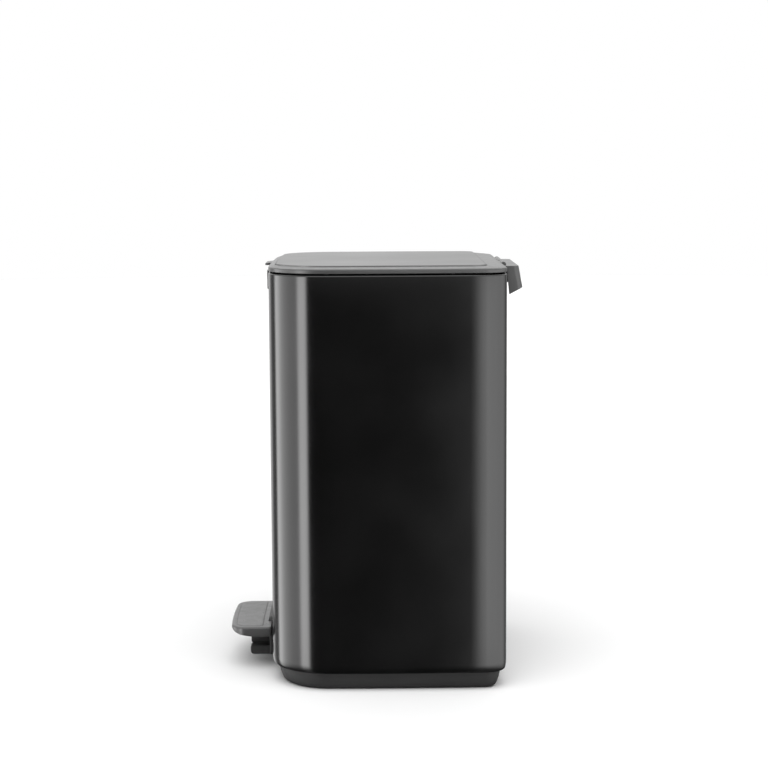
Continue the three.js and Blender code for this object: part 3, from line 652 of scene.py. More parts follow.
# ---------------------------------------------------------------- operators
class TRASHCAN_OT_finishes(bpy.types.Operator):
    """Make the finishes that the pieces share"""

    bl_idname = "trashcan.finishes"
    bl_label = "Finishes"

    def execute(self, context):
        tones = colours()
        lacquer("satin_lacquer", tones.lacquer)
        moulded("grey_moulding", tones.grey_plastic, 0.32)
        moulded("dark_moulding", tones.dark_plastic, 0.5, 1.4)
        moulded("bucket_moulding", tones.bucket, 0.4, 0.8)
        satin_metal("satin_plate", tones.plate)
        zinc("zinc_plating")
        rubber("soft_rubber")
        return {"FINISHED"}


def pedal_window(top):
    """The space for the pedal's neck in the front wall."""
    low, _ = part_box("pedal_guard")
    neck = 16.7 * MM
    past_face = 10 * MM
    back = MIDDLE - HALF_DEPTH + 18 * MM
    return block("window", (-neck, low.y - past_face, -past_face), (neck, back, top))


class TRASHCAN_OT_shell(bpy.types.Operator):
    """Build the lacquered steel body with its rolled edges"""

    bl_idname = "trashcan.shell"
    bl_label = "Steel body"

    def execute(self, context):
        bottom, top = shell_low.z / MM, shell_high.z / MM
        wall = 0.8
        foot = [(2.3, 0), (1.55, 0.25), (1.05, 0.8), (0.68, 1.8), (0.42, 3.2), (0.16, 5.2), (0, 7.8)]
        levels = [(inset, bottom + rise) for inset, rise in foot]
        levels += [(0, bottom + 60), (0, top - 60)]
        levels += rounded((1.5, top - 1.5), 0, 1.5)
        levels += [(1.8, top - 0.1), (1.8, top - 0.7), (1.5, top - wall), (wall, top - wall - 0.6)]
        levels += [(wall, bottom + 7.8), (2.3 + wall, bottom + wall)]
        levels += [(4.6, bottom + wall), (4.6, bottom)]
        shell = on_plan("steel_body", levels, ring=True)
        cut(shell, pedal_window(34.6 * MM))
        smooth(shell)
        settle(shell, "root", "black_steel", "satin_lacquer", "body_shell")
        return {"FINISHED"}


class TRASHCAN_OT_base(bpy.types.Operator):
    """Build the plastic base with the axle's lugs, and the anti-slip ring under it"""

    bl_idname = "trashcan.base"
    bl_label = "Base"

    def execute(self, context):
        _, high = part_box("base_tray")
        top = shell_low.z / MM
        outside = [
            (14, 2.8), (13.7, 1.3), (13.2, 0.85), (12.4, 0.8), (11.6, 1.0), (10.6, 1.5), (9.7, 2.5),
            (8.9, 3.9), (8.15, 5.7), (7.4, 8.0), (6.7, 10.6), (6.1, 13.2), (5.7, top - 1.4),
            (5.45, top - 0.6), (5.5, top - 0.35), (5.9, top - 0.3),
        ]
        spigot = [(5.9, top + 0.3), (5.1, top + 0.6), (5.1, high.z / MM), (7.6, high.z / MM)]
        inside = [(8.8, 12), (12.6, 7.5), (16.6, 5.4)]
        base = on_plan("plastic_base", outside + spigot + inside)
        axle_low, axle_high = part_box("pedal_axle")
        axle = (axle_low + axle_high) / 2
        inner, outer = 13.6 * MM, 18.6 * MM
        for side in (-1, 1):
            lug_low = (min(side * inner, side * outer), axle.y - 6 * MM, 4.4 * MM)
            lug_high = (max(side * inner, side * outer), axle.y + 6 * MM, axle.z + 5.5 * MM)
            lug = block("lug", lug_low, lug_high)
            round_edges(lug, lambda e: runs_along(e, 0) and middle_of(e).z > axle.z, 4 * MM, 6)
            add(base, lug)
        bore_end = Vector((outer + 1 * MM, 0, 0))
        cut(base, bar("bore", axle - bore_end, axle + bore_end, 2.8 * MM, 32))
        cut(base, pedal_window(high.z + 1 * MM))
        smooth(base)
        settle(base, "root", "dark_plastic", "dark_moulding", "base_tray")

        ridge = [(2, 0), (2.2, 0.5), (2.8, 0.5), (3, 0)]
        under = [(level + step, rise) for step in (0, 2.1) for level, rise in ridge]
        ring = [(0.3, 0), (0, 0.3), (0, 2.5), (7, 2.5), (7, 0.3), (6.7, 0), *reversed(under)]
        slip = on_plan("anti_slip_band", [(14.3 + inset, height) for inset, height in ring], ring=True)
        smooth(slip)
        settle(slip, "root", "rubber", "soft_rubber", "anti_slip_ring")
        return {"FINISHED"}


class TRASHCAN_OT_collar(bpy.types.Operator):
    """Build the collar in the body's mouth that carries the bucket"""

    bl_idname = "trashcan.collar"
    bl_label = "Collar"

    def execute(self, context):
        low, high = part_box("top_collar")
        bottom, top = low.z / MM, high.z / MM
        shelf = shell_high.z / MM - 9
        back, shelf_back = HALF_DEPTH / MM - 4.2, 77.9
        levels = [(2.2, bottom), (2.2, top - 0.5), (2.35, top - 0.15), (2.8, top)]
        levels += [(6.0, top, back), (6.4, top - 0.15, back), (6.6, top - 0.6, back)]
        levels += [(6.6, shelf + 0.4, back), (7.0, shelf, back)]
        levels += [(11.2, shelf, shelf_back + 0.4), (11.6, shelf - 0.4, shelf_back)]
        levels += [(11.6, shelf - 2, shelf_back), (4.2, shelf - 2), (4.2, bottom)]
        collar = on_plan("mouth_collar", levels, ring=True)
        front = hinge()[0].y - 28.2 * MM
        slot = 8.1 * MM
        cut(collar, block("slot", (-slot, front, low.z - MM), (slot, MIDDLE + back * MM, high.z + MM)))
        smooth(collar)
        settle(collar, "root", "dark_plastic", "dark_moulding", "top_collar")
        return {"FINISHED"}


class TRASHCAN_OT_bucket(bpy.types.Operator):
    """Build the tapered inner bucket with its flange"""

    bl_idname = "trashcan.bucket"
    bl_label = "Inner bucket"

    def execute(self, context):
        low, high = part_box("inner_bucket")
        floor, top = low.z / MM, high.z / MM
        under = top - 2.4
        back = (high.y - MIDDLE) / MM
        wall_back = back - 4.8
        thick, heel = 1.8, 6
        outside, foot = 12.4, 21.4
        foot_back = wall_back - 4.5
        levels = [
            (foot + heel, floor, foot_back - heel),
            (foot + heel * 0.5, floor + 0.5, foot_back - heel * 0.5),
            (foot + heel * 0.15, floor + heel * 0.35, foot_back - heel * 0.15),
            (foot, floor + heel, foot_back),
            (outside, under, wall_back),
            (7.5, under, back - 0.4),
            (7.1, under + 0.4, back),
            (7.1, top - 0.8, back),
            (7.35, top - 0.25, back - 0.25),
            (7.9, top, back - 0.8),
            (outside + thick - 1, top, wall_back - thick + 1),
            (outside + thick - 0.2, top - 0.4, wall_back - thick + 0.2),
            (outside + thick, top - 1.4, wall_back - thick),
            (foot + thick, floor + heel + thick, foot_back - thick),
            (foot + heel * 0.3 + thick, floor + heel * 0.3 + thick, foot_back - heel * 0.3 - thick),
            (foot + heel + thick, floor + thick, foot_back - heel - thick),
        ]
        bucket = on_plan("inner_bin", levels)
        smooth(bucket)
        settle(bucket, "root", "bucket_plastic", "bucket_moulding", "inner_bucket")
        return {"FINISHED"}


class TRASHCAN_OT_badge(bpy.types.Operator):
    """Build the small tab under the lid's lip"""

    bl_idname = "trashcan.badge"
    bl_label = "Front tab"

    def execute(self, context):
        low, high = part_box("front_badge")
        badge = block("front_tab", low, high)
        round_edges(badge, lambda e: runs_along(e, 1), 3 * MM, 8)
        round_edges(badge, lambda e: all(v.co.y < low.y + TOUCH for v in e.verts), 0.5 * MM, 4)
        smooth(badge)
        # The tab is grey plastic; its dark finish is painted shade, standing in for the shadow under the
        # lid's lip.
        settle(badge, "root", "grey_plastic", "dark_moulding", "front_badge")
        return {"FINISHED"}


def hinge():
    """The lid hinge's line, its pin's radius and its end."""
    low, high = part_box("hinge_pin")
    return (low + high) / 2, (high.z - low.z) / 2, high.x


def knuckle(left, right):
    """One hinge knuckle with softened rims, without its bore."""
    axis, _, _ = hinge()
    barrel = bar("knuckle", (left, axis.y, axis.z), (right, axis.y, axis.z), 2.4 * MM, 40)
    round_edges(barrel, lambda e: not runs_along(e, 0), 0.25 * MM, 2)
    return barrel


class TRASHCAN_OT_handle(bpy.types.Operator):
    """Build the carry handle at the back, with its fixed hinge knuckles"""

    bl_idname = "trashcan.handle"
    bl_label = "Carry handle"

    def execute(self, context):
        low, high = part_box("carry_handle")
        axis, pin, pin_end = hinge()
        wall = MIDDLE + HALF_DEPTH
        top = 388.3 * MM
        front = wall + 0.6 * MM
        inside = wall + 5.9 * MM
        lip, inner = top - 20.1 * MM, top - 26.7 * MM
        top_back, back = wall + 14.8 * MM, high.y
        slope = Vector((0, top - lip, back - top_back))
        under = Vector((0, lip - inner, inside - back))
        end = 61 * MM
        thick = 2.5 * MM

        hood = block("carry_handle_hood", (-end, front, inner), (end, back, top))
        slice_off(hood, (0, top_back, top), slope)
        slice_off(hood, (0, back, lip), under)
        fingers = block("fingers", (-end - MM, wall - 5 * MM, inner - MM), (end + MM, back, top - 2.2 * MM))
        slice_off(fingers, (0, front, top - 2.2 * MM), (0, 1.6, 3.3))
        slice_off(fingers, (0, inside, inner), (0, 20.7, 2))
        cut(hood, fingers)

        def hood_back_corner(e):
            nearest = min(v.co.y for v in e.verts)
            return abs(middle_of(e).x) > end - TOUCH and nearest > top_back - TOUCH

        def upper_edge(e):
            middle = middle_of(e)
            return runs_along(e, 0) and middle.z > top - MM and middle.y > front + MM

        round_edges(hood, hood_back_corner, 5 * MM, 8)
        round_edges(hood, upper_edge, 1.6 * MM, 5)

        hollow_low = (-end + thick, inside - 4 * MM, inner - 0.01)
        hollow = block("hollow", hollow_low, (end - thick, back - thick, top - 3 * MM))
        slice_off(hollow, (0, top_back - thick, top), slope)
        round_edges(hollow, lambda e: runs_along(e, 2) and middle_of(e).y > back - 0.01, 3 * MM, 5)
        cut(hood, hollow)

        tongue = block("tongue", (-34 * MM, wall + 0.3 * MM, low.z), (34 * MM, wall + 2.5 * MM, top - 2 * MM))
        round_edges(tongue, lambda e: runs_along(e, 1) and middle_of(e).z < 360 * MM, 4 * MM, 6)
        add(hood, tongue)
        add(hood, block("web", (-pin_end, axis.y, top - 3 * MM), (pin_end, inside, top - 0.05 * MM)))
        room = Vector((pin_end + MM, 0, 0))
        cut(hood, bar("pocket", axis - room, axis + room, 2.8 * MM, 40))
        reach = pin_end + 0.3 * MM
        cut(hood, block("arm_space", (-reach, wall - 0.01, 385.4 * MM), (reach, axis.y, top + 0.01)))
        for left, right in ((-50, -34.3), (-17.7, 17.7), (34.3, 50)):
            add(hood, knuckle(left * MM, right * MM))
            rib_low = (left * MM, axis.y, top - 2.4 * MM)
            rib_high = (right * MM, axis.y + 3.8 * MM, top - 0.4 * MM)
            rib = block("rib", rib_low, rib_high)
            add(hood, rib)
        closed = Vector((pin_end - 0.8 * MM, 0, 0))
        cut(hood, bar("pin_bore", axis - closed, axis + closed, pin + 0.3 * MM, 32))
        smooth(hood, 28)
        settle(hood, "root", "grey_plastic", "grey_moulding", "carry_handle")
        return {"FINISHED"}


class TRASHCAN_OT_guard(bpy.types.Operator):
    """Build the pedal guard with its window and its two toes"""

    bl_idname = "trashcan.guard"
    bl_label = "Pedal guard"

    def execute(self, context):
        low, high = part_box("pedal_guard")
        face = high.y - 4.6 * MM
        guard = block("pedal_surround", (low.x, face, 8.8 * MM), (high.x, high.y, high.z))
        round_edges(guard, lambda e: runs_along(e, 1) and middle_of(e).z > 20 * MM, 6 * MM, 8)
        round_edges(guard, lambda e: all(v.co.y < face + TOUCH for v in e.verts), 0.8 * MM, 4)
        neck, outer = 16.7 * MM, 28 * MM
        cut(guard, block("window", (-neck, low.y, 0), (neck, high.y + MM, 34.6 * MM)))
        for side in (-1, 1):
            near, far = sorted((side * neck, side * outer))
            toe = block("toe", (near, low.y, low.z), (far, face + MM, 17.3 * MM))

            def front_edge(e):
                return runs_along(e, 0) and middle_of(e).y < low.y + MM

            round_edges(toe, lambda e: front_edge(e) and middle_of(e).z < low.z + MM, 3.6 * MM, 7)
            round_edges(toe, lambda e: front_edge(e) and middle_of(e).z > 17 * MM, 1.6 * MM, 5)
            round_edges(toe, lambda e: runs_along(e, 1) and middle_of(e).z > 17 * MM, 0.7 * MM, 3)
            add(guard, toe)
        smooth(guard)
        settle(guard, "root", "dark_plastic", "dark_moulding", "pedal_guard")
        return {"FINISHED"}


class TRASHCAN_OT_lid_rim(bpy.types.Operator):
    """Build the lid's plastic rim with its lip and its hinge knuckles"""

    bl_idname = "trashcan.lid_rim"
    bl_label = "Lid rim"

    def execute(self, context):
        bottom, edge, ridge, floor = 386.1, 390.4, 392.2, 389.3
        plate_back = 91.3
        radius = sizes().rim_round / MM
        levels = [(0.8, bottom), (0.3, bottom + 0.1), (0.05, bottom + 0.35), (0, bottom + 0.8)]
        levels += rounded((radius, edge - radius), 0, radius)[:-1]
        levels += [(radius + 0.25, edge + 0.12), (6.0, ridge - 0.14, plate_back + 1.6)]
        levels += [(6.4, ridge - 0.12, plate_back + 0.9), (6.55, ridge - 0.3, plate_back + 0.7)]
        levels += [(6.6, ridge - 0.6, plate_back + 0.6), (6.6, floor, plate_back + 0.6)]
        rim = on_plan("lid_rim", levels)

        front = MIDDLE - HALF_DEPTH
        low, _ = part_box("lid_frame")
        lip = block("lip", (-18 * MM, low.y, 387.9 * MM), (18 * MM, front + 4 * MM, 390.4 * MM))
        slice_off(lip, (0, low.y, 389.8 * MM), (0, -0.6, 6.3))
        round_edges(lip, lambda e: runs_along(e, 2) and middle_of(e).y < low.y + MM, 1.2 * MM, 6)

        def lip_top(e):
            high_up = all(v.co.z > 389.5 * MM for v in e.verts)
            return high_up and middle_of(e).y < low.y + 1.5 * MM

        round_edges(lip, lip_top, 0.5 * MM, 4)
        add(rim, lip)
        axis, pin, pin_end = hinge()
        room = block("hinge_room", (-pin_end - MM, MIDDLE + 108.5 * MM, 0.3), (pin_end + MM, 0.3, 0.5))
        cut(rim, room)
        for side in (-1, 1):
            near, far = sorted((side * 18 * MM, side * 34 * MM))
            arm = block("arm", (near, MIDDLE + 104.6 * MM, 386.9 * MM), (far, axis.y, 390.4 * MM))
            add(rim, arm)
            add(rim, knuckle(near, far))
        reach = Vector((pin_end, 0, 0))
        cut(rim, bar("pin_bore", axis - reach, axis + reach, pin + 0.3 * MM, 32))
        smooth(rim)
        settle(rim, "lid", "grey_plastic", "grey_moulding", "lid_frame")
        return {"FINISHED"}


class TRASHCAN_OT_lid_plate(bpy.types.Operator):
    """Build the crowned metal plate on the lid"""

    bl_idname = "trashcan.lid_plate"
    bl_label = "Lid plate"

    def execute(self, context):
        low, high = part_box("lid_plate")
        bottom, top = low.z / MM, high.z / MM
        edge = top - 0.3
        side = 7.2
        back = 91
        round_over = [
            (0, edge - 0.7), (0.06, edge - 0.42), (0.2, edge - 0.18),
            (0.42, edge - 0.05), (0.75, edge),
        ]
        crown = [
            (4, edge + 0.08), (9, edge + 0.16), (18, edge + 0.22),
            (32, edge + 0.26), (50, edge + 0.28), (74, top),
        ]
        outside = [(0, bottom), *round_over, *crown]
        inside = [
            (74, top - 1), (32, edge - 0.6), (9, edge - 0.8),
            (1.6, edge - 1.1), (0.9, edge - 1.7), (0.9, bottom),
        ]
        levels = [(side + inset, height, back - inset) for inset, height in reversed(inside)]
        levels += [(side + inset, height, back - inset) for inset, height in outside]
        plate = on_plan("lid_top_plate", levels)
        smooth(plate)
        settle(plate, "lid", "lid_metal", "satin_plate", "lid_plate")
        return {"FINISHED"}


class TRASHCAN_OT_lid_liner(bpy.types.Operator):
    """Build the tray under the lid that closes off the bucket, and the lid's rubber buffers"""

    bl_idname = "trashcan.lid_liner"
    bl_label = "Lid lining and buffers"

    def execute(self, context):
        low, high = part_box("lid_liner")
        bottom, top = low.z / MM, high.z / MM
        back = (high.y - MIDDLE) / MM
        side = 8.7
        wall = 1.8
        skin = [(7, bottom), (4.4, bottom + 0.35), (2.2, bottom + 1.4), (0.9, bottom + 3), (0, top)]
        inside = [(wall, top), (2.6, bottom + 3.6), (6, bottom + wall)]
        levels = [(side + inset, height, back - inset) for inset, height in skin + inside]
        liner = on_plan("lid_lining", levels)
        smooth(liner)
        settle(liner, "lid", "bucket_plastic", "bucket_moulding", "lid_liner")

        for node in sorted(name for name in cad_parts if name.startswith("lid_bumper_")):
            low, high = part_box(node)
            centre = (low + high) / 2
            foot_end = (centre.x, centre.y, low.z)
            top_end = (centre.x, centre.y, high.z)
            buffer = bar(f"{node}_foot", foot_end, top_end, (high.x - low.x) / 2, 32)
            round_edges(buffer, lambda e: all(v.co.z < low.z + TOUCH for v in e.verts), 0.7 * MM, 4)
            smooth(buffer)
            settle(buffer, "lid", "rubber", "soft_rubber", node)
        return {"FINISHED"}


class TRASHCAN_OT_pedal(bpy.types.Operator):
    """Build the pedal pad with its neck, and the tread let into it"""

    bl_idname = "trashcan.pedal"
    bl_label = "Pedal"

    def execute(self, context):
        low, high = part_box("pedal_pad")
        _, guard_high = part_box("pedal_guard")
        tread_low, tread_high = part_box("pedal_tread")
        half = high.x
        tip, back = low.y, MIDDLE - HALF_DEPTH - 1.8 * MM
        notch_back = guard_high.y - 4.6 * MM - MM
        top = (tread_high.z - 0.3 * MM) / MM
        under = top - 9.6
        soft = sizes().pad_round / MM

        def pad_level(level):
            inset, height = level[0] * MM, level[1] * MM
            edge_back = level[2] if len(level) > 2 else back - inset / 2
            return (half - inset, tip + inset, edge_back, 15 * MM - inset, 2.5 * MM, height)

        levels = [(1.6, under), (0.8, under + 0.2), (0.25, under + 0.7), (0, under + 1.5)]
        levels += rounded((soft, top - soft), 0, soft, 5)
        pad = stack("pedal_plate", levels, False, pad_level)
        for rise, run, steep in ((1.2, 14, 0.14), (2.2, 7.5, 0.34), (3.4, 3.6, 0.75), (4.6, 1.5, 1.6)):
            place = (0, tip + run * MM, (under + rise) * MM)
            slice_off(pad, place, (0, -steep, -1))
        guard_half = 31 * MM
        cut(pad, block("notch", (-guard_half, notch_back, 0), (guard_half, back + 0.01, 0.1)))

        neck_front = MIDDLE - HALF_DEPTH - 23.8 * MM
        neck = block("neck", (-15 * MM, neck_front, low.z), (15 * MM, back + 3 * MM, (under + 1) * MM))

        def neck_edge(e, axis):
            return runs_along(e, axis) and middle_of(e).y < neck_front + MM

        round_edges(neck, lambda e: neck_edge(e, 0) and middle_of(e).z < low.z + MM, 3 * MM, 6)
        round_edges(neck, lambda e: neck_edge(e, 2), 1.5 * MM, 4)
        add(pad, neck)
        lever_low, lever_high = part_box("pedal_lever")
        groove = 10.3 * MM
        cut(pad, block("groove", (-groove, lever_low.y - 0.3 * MM, 0), (groove, 0, lever_high.z + 0.3 * MM)))

        def seat_level(level):
            inset = level[0] * MM
            return (
                tread_high.x - inset,
                tread_low.y + inset,
                tread_high.y - inset,
                10 * MM - inset,
                2 * MM,
                level[1] * MM,
            )

        floor = tread_low.z / MM - 0.3
        seat_levels = [
            (-0.06, floor), (-0.06, top - 0.12), (-0.2, top + 0.05), (-0.2, top + 2),
        ]
        seat = stack("seat", seat_levels, False, seat_level)
        cut(pad, seat)
        smooth(pad, 40)
        bow_front(pad, tip, back, half)
        settle(pad, "pedal", "grey_plastic", "grey_moulding", "pedal_pad")

        crown = tread_high.z / MM
        levels = [(0, tread_low.z / MM), (0, crown - 0.5), (0.15, crown - 0.15), (0.6, crown), (3, crown)]
        tread = stack("pedal_tread_inlay", levels, False, seat_level)
        smooth(tread)
        bow_front(tread, tip, back, half)
        settle(tread, "pedal", "grey_plastic", "grey_moulding", "pedal_tread")
        return {"FINISHED"}


def bow_front(obj, tip, back, half):
    """Draws a pedal piece's front edge back towards its corners."""
    leave()
    bpy.ops.object.add(type="LATTICE", location=(0, (tip + back) / 2, 0.03))
    cage = bpy.context.object
    cage.scale = (2.1 * half, 1.3 * (back - tip), 0.1)
    cage.data.points_u, cage.data.points_v, cage.data.points_w = 9, 5, 2
    cage.data.interpolation_type_u = "KEY_CATMULL_ROM"
    cage.data.interpolation_type_v = "KEY_LINEAR"
    for point in cage.data.points:
        x, y = point.co.x * cage.scale.x, cage.location.y + point.co.y * cage.scale.y
        towards_tip = max(0, min(1.2, (back - y) / (back - tip)))
        point.co_deform.y = point.co.y + 2 * MM * towards_tip * (x / half) ** 2 / cage.scale.y
    take(obj)
    modifier = obj.modifiers.new("Front bow", "LATTICE")
    modifier.object = cage
    bpy.ops.object.modifier_apply(modifier=modifier.name)
    bpy.data.objects.remove(cage)
    return obj


def pan_screw():
    """A pan-head screw pointing up from the floor, with a cross recess. Its thread is drawn on each copy
    afterwards.
    """
    head, shank, rise = 2.9 * MM, 1.5 * MM, 1.6 * MM
    screw = bar("pan_screw", (0, 0, 0), (0, 0, rise), head, 36)
    round_edges(screw, lambda e: all(v.co.z < TOUCH for v in e.verts), 0.9 * MM, 5)
    for turned in (False, True):
        wide, narrow = (1.7 * MM, 0.32 * MM) if turned else (0.32 * MM, 1.7 * MM)
        cut(screw, block("recess", (-wide, -narrow, -MM), (wide, narrow, 0.75 * MM)))
    with Editing(screw):
        select(screw, "FACE", lambda f: f.normal.z > 0.9 and f.calc_center_median().z > rise - TOUCH)
        bpy.ops.mesh.inset(thickness=head - shank)
    return screw


class TRASHCAN_OT_screws(bpy.types.Operator):
    """Build one pan-head screw and copy it to every place"""

    bl_idname = "trashcan.screws"
    bl_label = "Screws"

    def execute(self, context):
        bodies = {"handle": "root", "guard": "root", "crank": "lid", "pedal": "pedal"}
        directions = {"handle": (0, 1, 0), "guard": (0, -1, 0), "crank": (0, 0, 1), "pedal": (0, 0, 1)}
        pattern = pan_screw()
        for node in sorted(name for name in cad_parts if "_screw_" in name):
            kind = node.split("_")[0]
            low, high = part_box(node)
            way = Vector(directions[kind])
            centre = (low + high) / 2
            length = abs((high - low).dot(way))
            screw = pattern.copy()
            screw.data = pattern.data.copy()
            screw.name = screw.data.name = f"pan_head_{node}"
            bpy.context.scene.collection.objects.link(screw)
            self.thread(screw, length - 1.6 * MM)
            turned_way = way.to_track_quat("Z", "Y").to_matrix().to_4x4()
            screw.matrix_world = Matrix.Translation(centre - way * length / 2) @ turned_way
            take(screw)
            bpy.ops.object.transform_apply(location=True, rotation=True, scale=True)
            smooth(screw, 38)
            settle(screw, bodies[kind], "zinc_steel", "zinc_plating", node)
        bpy.data.objects.remove(pattern)
        return {"FINISHED"}

    def thread(self, screw, length):
        """Draws the shank out in ridges, then a short point."""
        pitch = 0.8 * MM
        ridges = max(2, int(length / pitch) - 1)
        with Editing(screw):

            def shank_root(f):
                spot = f.calc_center_median()
                central = spot.xy.length < 0.1 * MM and spot.z > MM
                return f.normal.z > 0.9 and central and f.calc_area() < 9e-6

            select(screw, "FACE", shank_root)
            step = length / (2 * ridges + 1)
            for turn in range(2 * ridges + 1):
                shrink = 0.8 if turn % 2 == 0 else 1.25
                bpy.ops.mesh.extrude_region_move(TRANSFORM_OT_translate={"value": (0, 0, step)})
                bpy.ops.transform.resize(value=(shrink, shrink, 1))
            bpy.ops.mesh.select_all(action="DESELECT")


class TRASHCAN_OT_mechanism(bpy.types.Operator):
    """Finish the pins and the mechanism inside"""

    bl_idname = "trashcan.mechanism"
    bl_label = "Pins and mechanism"

    def execute(self, context):
        for node, body in (("hinge_pin", "root"), ("pedal_axle", "root"), ("rod_pin", "lift")):
            low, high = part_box(node)
            centre = (low + high) / 2
            radius = (high.z - low.z) / 2
            half = (high.x - low.x) / 2 - (1 * MM if node == "hinge_pin" else 0)
            reach = Vector((half, 0, 0))
            pin = bar(f"{node}_turned", centre - reach, centre + reach, radius, 40)
            round_edges(pin, lambda e: not runs_along(e, 0), radius * 0.35, 4)
            smooth(pin)
            settle(pin, body, "zinc_steel", "zinc_plating", node)
        finishes = {
            "zinc_plating": (
                "axle_clip_left", "axle_clip_right", "lid_crank", "pedal_lever", "push_rod",
                "damper_plunger",
            ),
            "dark_moulding": ("rod_cover", "rod_guide_lower", "rod_guide_upper", "damper_cylinder"),
        }
        for finish, nodes in finishes.items():
            for node in nodes:
                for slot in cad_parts[node].material_slots:
                    slot.material = bpy.data.materials[finish]
        return {"FINISHED"}


# ---------------------------------------------------------------- stage
CAMERA_PLACE = (1.83791, -0.01379, 0.49047)
CAMERA_PITCH, CAMERA_YAW, CAMERA_ROLL = (math.radians(a) for a in (6.833, 0.3718, -0.3137))
CAMERA_LENS = 88.89
SENSOR = 36


def studio_world():
    """Soft white surroundings with the panels and the dark gap that the gloss shows."""
    world = bpy.data.worlds.new("studio")
    bpy.context.scene.world = world
    world.use_nodes = True
    nodes, links = world.node_tree.nodes, world.node_tree.links
    background = nodes["Background"]
    place = nodes.new("ShaderNodeTexCoord")
    split = nodes.new("ShaderNodeSeparateXYZ")
    links.new(place.outputs["Generated"], split.inputs["Vector"])
    forward = nodes.new("ShaderNodeMath")
    forward.operation = "MULTIPLY"
    forward.inputs[1].default_value = -1
    links.new(split.outputs["Y"], forward.inputs[0])
    bearing = nodes.new("ShaderNodeMath")
    bearing.operation = "ARCTAN2"
    links.new(forward.outputs["Value"], bearing.inputs[0])
    links.new(split.outputs["X"], bearing.inputs[1])
    share = nodes.new("ShaderNodeMapRange")
    share.inputs["From Min"].default_value = -math.pi
    share.inputs["From Max"].default_value = math.pi
    links.new(bearing.outputs["Value"], share.inputs["Value"])
    ramp = nodes.new("ShaderNodeValToRGB")
    links.new(share.outputs["Result"], ramp.inputs["Fac"])
    peak = 8.0
    stops = (
        (-180, 0.8), (-150, 0.3), (-132, 0.3), (-118, 1.2), (-100, 2.2), (-60, 3.3), (-12, 3.7),
        (-8.5, 0.03), (41, 0.03), (46, 8.0), (59, 8.0), (65, 2.3), (82, 2.4), (95, 2.9),
        (104, 3.5), (112, 4.7), (120, 4.7), (126, 0.2), (140, 0.3), (150, 1.0), (180, 1.0),
    )
    elements = ramp.color_ramp.elements
    while len(elements) > 1:
        elements.remove(elements[0])
    elements[0].position = 0
    for index, (degrees, level) in enumerate(stops):
        element = elements[0] if index == 0 else elements.new((degrees + 180) / 360)
        element.color = (level / peak, level / peak, level / peak, 1)
    sides = nodes.new("ShaderNodeMix")
    sides.data_type = "FLOAT"
    height = nodes.new("ShaderNodeMapRange")
    height.interpolation_type = "SMOOTHSTEP"
    height.inputs["From Min"].default_value = 0.06
    height.inputs["From Max"].default_value = 0.22
    links.new(split.outputs["Z"], height.inputs["Value"])
    links.new(height.outputs["Result"], sides.inputs["Factor"])
    around = nodes.new("ShaderNodeMath")
    around.operation = "MULTIPLY"
    around.inputs[1].default_value = peak
    links.new(ramp.outputs["Color"], around.inputs[0])
    below = nodes.new("ShaderNodeMapRange")
    below.inputs["From Min"].default_value = -0.5
    below.inputs["From Max"].default_value = -0.3
    below.inputs["To Min"].default_value = 0.06
    links.new(split.outputs["Z"], below.inputs["Value"])
    shaded = nodes.new("ShaderNodeMath")
    shaded.operation = "MULTIPLY"
    links.new(around.outputs["Value"], shaded.inputs[0])
    links.new(below.outputs["Result"], shaded.inputs[1])
    links.new(shaded.outputs["Value"], sides.inputs["A"])
    sides.inputs["B"].default_value = 1.0
    upper = nodes.new("ShaderNodeMapRange")
    upper.interpolation_type = "SMOOTHSTEP"
    upper.inputs["From Min"].default_value = 0.4
    upper.inputs["From Max"].default_value = 0.6
    links.new(split.outputs["Z"], upper.inputs["Value"])
    whole = nodes.new("ShaderNodeMix")
    whole.data_type = "FLOAT"
    links.new(upper.outputs["Result"], whole.inputs["Factor"])
    links.new(sides.outputs["Result"], whole.inputs["A"])
    whole.inputs["B"].default_value = 2.6
    across = nodes.new("ShaderNodeMapRange")
    across.inputs["From Min"].default_value = -0.6
    across.inputs["From Max"].default_value = 0.6
    across.inputs["To Min"].default_value = 0.8
    across.inputs["To Max"].default_value = 0.25
    links.new(split.outputs["X"], across.inputs["Value"])
    soft = nodes.new("ShaderNodeMix")
    soft.data_type = "FLOAT"
    links.new(upper.outputs["Result"], soft.inputs["Factor"])
    links.new(across.outputs["Result"], soft.inputs["A"])
    soft.inputs["B"].default_value = 0.7
    seen = nodes.new("ShaderNodeLightPath")
    glossy = nodes.new("ShaderNodeMix")
    glossy.data_type = "FLOAT"
    links.new(seen.outputs["Is Glossy Ray"], glossy.inputs["Factor"])
    links.new(soft.outputs["Result"], glossy.inputs["A"])
    links.new(whole.outputs["Result"], glossy.inputs["B"])
    strength = nodes.new("ShaderNodeMix")
    strength.data_type = "FLOAT"
    links.new(seen.outputs["Is Camera Ray"], strength.inputs["Factor"])
    links.new(glossy.outputs["Result"], strength.inputs["A"])
    strength.inputs["B"].default_value = 1.0
    links.new(strength.outputs["Result"], background.inputs["Strength"])
    background.inputs["Color"].default_value = (1, 1, 1, 1)


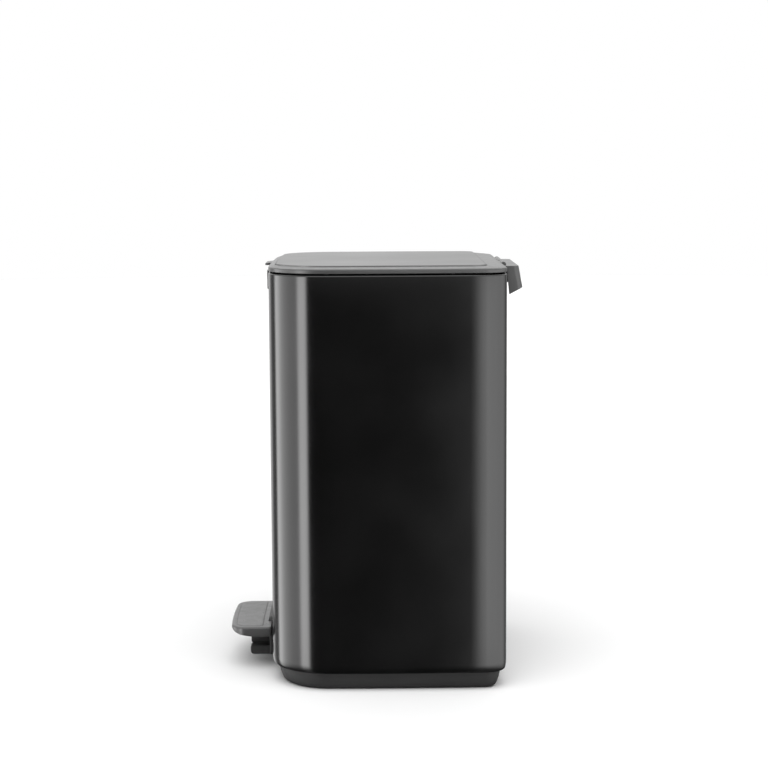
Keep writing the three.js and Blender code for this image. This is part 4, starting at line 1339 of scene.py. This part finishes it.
class TRASHCAN_OT_stage(bpy.types.Operator):
    """Set the floor, the soft light and the camera"""

    bl_idname = "trashcan.stage"
    bl_label = "Stage"

    def execute(self, context):
        leave()
        bpy.ops.mesh.primitive_circle_add(vertices=96, radius=6, fill_type="NGON", location=(0, 0, 0))
        floor = bpy.context.object
        floor.name = "studio_floor"
        finish = Finish("pale_floor")
        finish.set(Roughness=0.85)
        floor_tone = finish.spread(finish.noise(3, 3), 0, 1)
        finish.to("Base Color", finish.shade(floor_tone, (0.86, 0.86, 0.86), (0.88, 0.88, 0.88)))
        floor.data.materials.append(finish.material)
        floor.visible_glossy = False
        studio_world()

        bpy.ops.object.light_add(type="SUN", location=(0, 0, 2.6))
        overhead = bpy.context.object
        overhead.name = "overhead_light"
        overhead.rotation_euler = (0, math.radians(27), 0)
        overhead.data.angle = math.radians(60)
        overhead.data.energy = 2.3
        overhead.visible_glossy = False

        camera_data = bpy.data.cameras.new("camera")
        camera = bpy.data.objects.new("camera", camera_data)
        context.scene.collection.objects.link(camera)
        pitch, yaw, roll = CAMERA_PITCH, CAMERA_YAW, CAMERA_ROLL
        ahead = Vector((-math.cos(pitch) * math.cos(yaw), math.cos(pitch) * math.sin(yaw), -math.sin(pitch)))
        right = Vector((math.sin(yaw), math.cos(yaw), 0))
        up = right.cross(ahead)
        across = right * math.cos(roll) + up * math.sin(roll)
        upright = up * math.cos(roll) - right * math.sin(roll)
        turn = Matrix((across, upright, -ahead)).transposed().to_4x4()
        place = Vector(CAMERA_PLACE) + Vector((0, MIDDLE, 0))
        camera.matrix_world = Matrix.Translation(place) @ turn
        camera_data.sensor_width = SENSOR
        camera_data.lens = CAMERA_LENS
        camera_data.dof.use_dof = False
        context.scene.camera = camera
        context.scene.view_settings.view_transform = "Standard"
        return {"FINISHED"}


OPERATORS = (
    TRASHCAN_OT_finishes,
    TRASHCAN_OT_stage,
    TRASHCAN_OT_shell,
    TRASHCAN_OT_base,
    TRASHCAN_OT_collar,
    TRASHCAN_OT_bucket,
    TRASHCAN_OT_badge,
    TRASHCAN_OT_handle,
    TRASHCAN_OT_guard,
    TRASHCAN_OT_lid_rim,
    TRASHCAN_OT_lid_plate,
    TRASHCAN_OT_lid_liner,
    TRASHCAN_OT_pedal,
    TRASHCAN_OT_screws,
    TRASHCAN_OT_mechanism,
)


class TRASHCAN_PT_panel(bpy.types.Panel):
    """Lists the trash can's pieces"""

    bl_label = "Trash can"
    bl_idname = "TRASHCAN_PT_panel"
    bl_space_type = "VIEW_3D"
    bl_region_type = "UI"
    bl_category = "Trash can"

    def draw(self, context):
        for group in (sizes(), colours()):
            column = self.layout.column()
            for name in group.bl_rna.properties.keys():
                if name not in ("rna_type", "name"):
                    column.prop(group, name)
        for operator in OPERATORS:
            self.layout.operator(operator.bl_idname)


CLASSES = (TrashCanSizes, TrashCanColours, *OPERATORS, TRASHCAN_PT_panel)


def register():
    for item in CLASSES:
        bpy.utils.register_class(item)
    bpy.types.Scene.trash_can_sizes = PointerProperty(type=TrashCanSizes)
    bpy.types.Scene.trash_can_colours = PointerProperty(type=TrashCanColours)


def unregister():
    del bpy.types.Scene.trash_can_colours
    del bpy.types.Scene.trash_can_sizes
    for item in reversed(CLASSES):
        bpy.utils.unregister_class(item)


def main():
    register()
    for operator in OPERATORS:
        group, name = operator.bl_idname.split(".")
        getattr(getattr(bpy.ops, group), name)()
    leave()


if __name__ == "__main__":
    main()
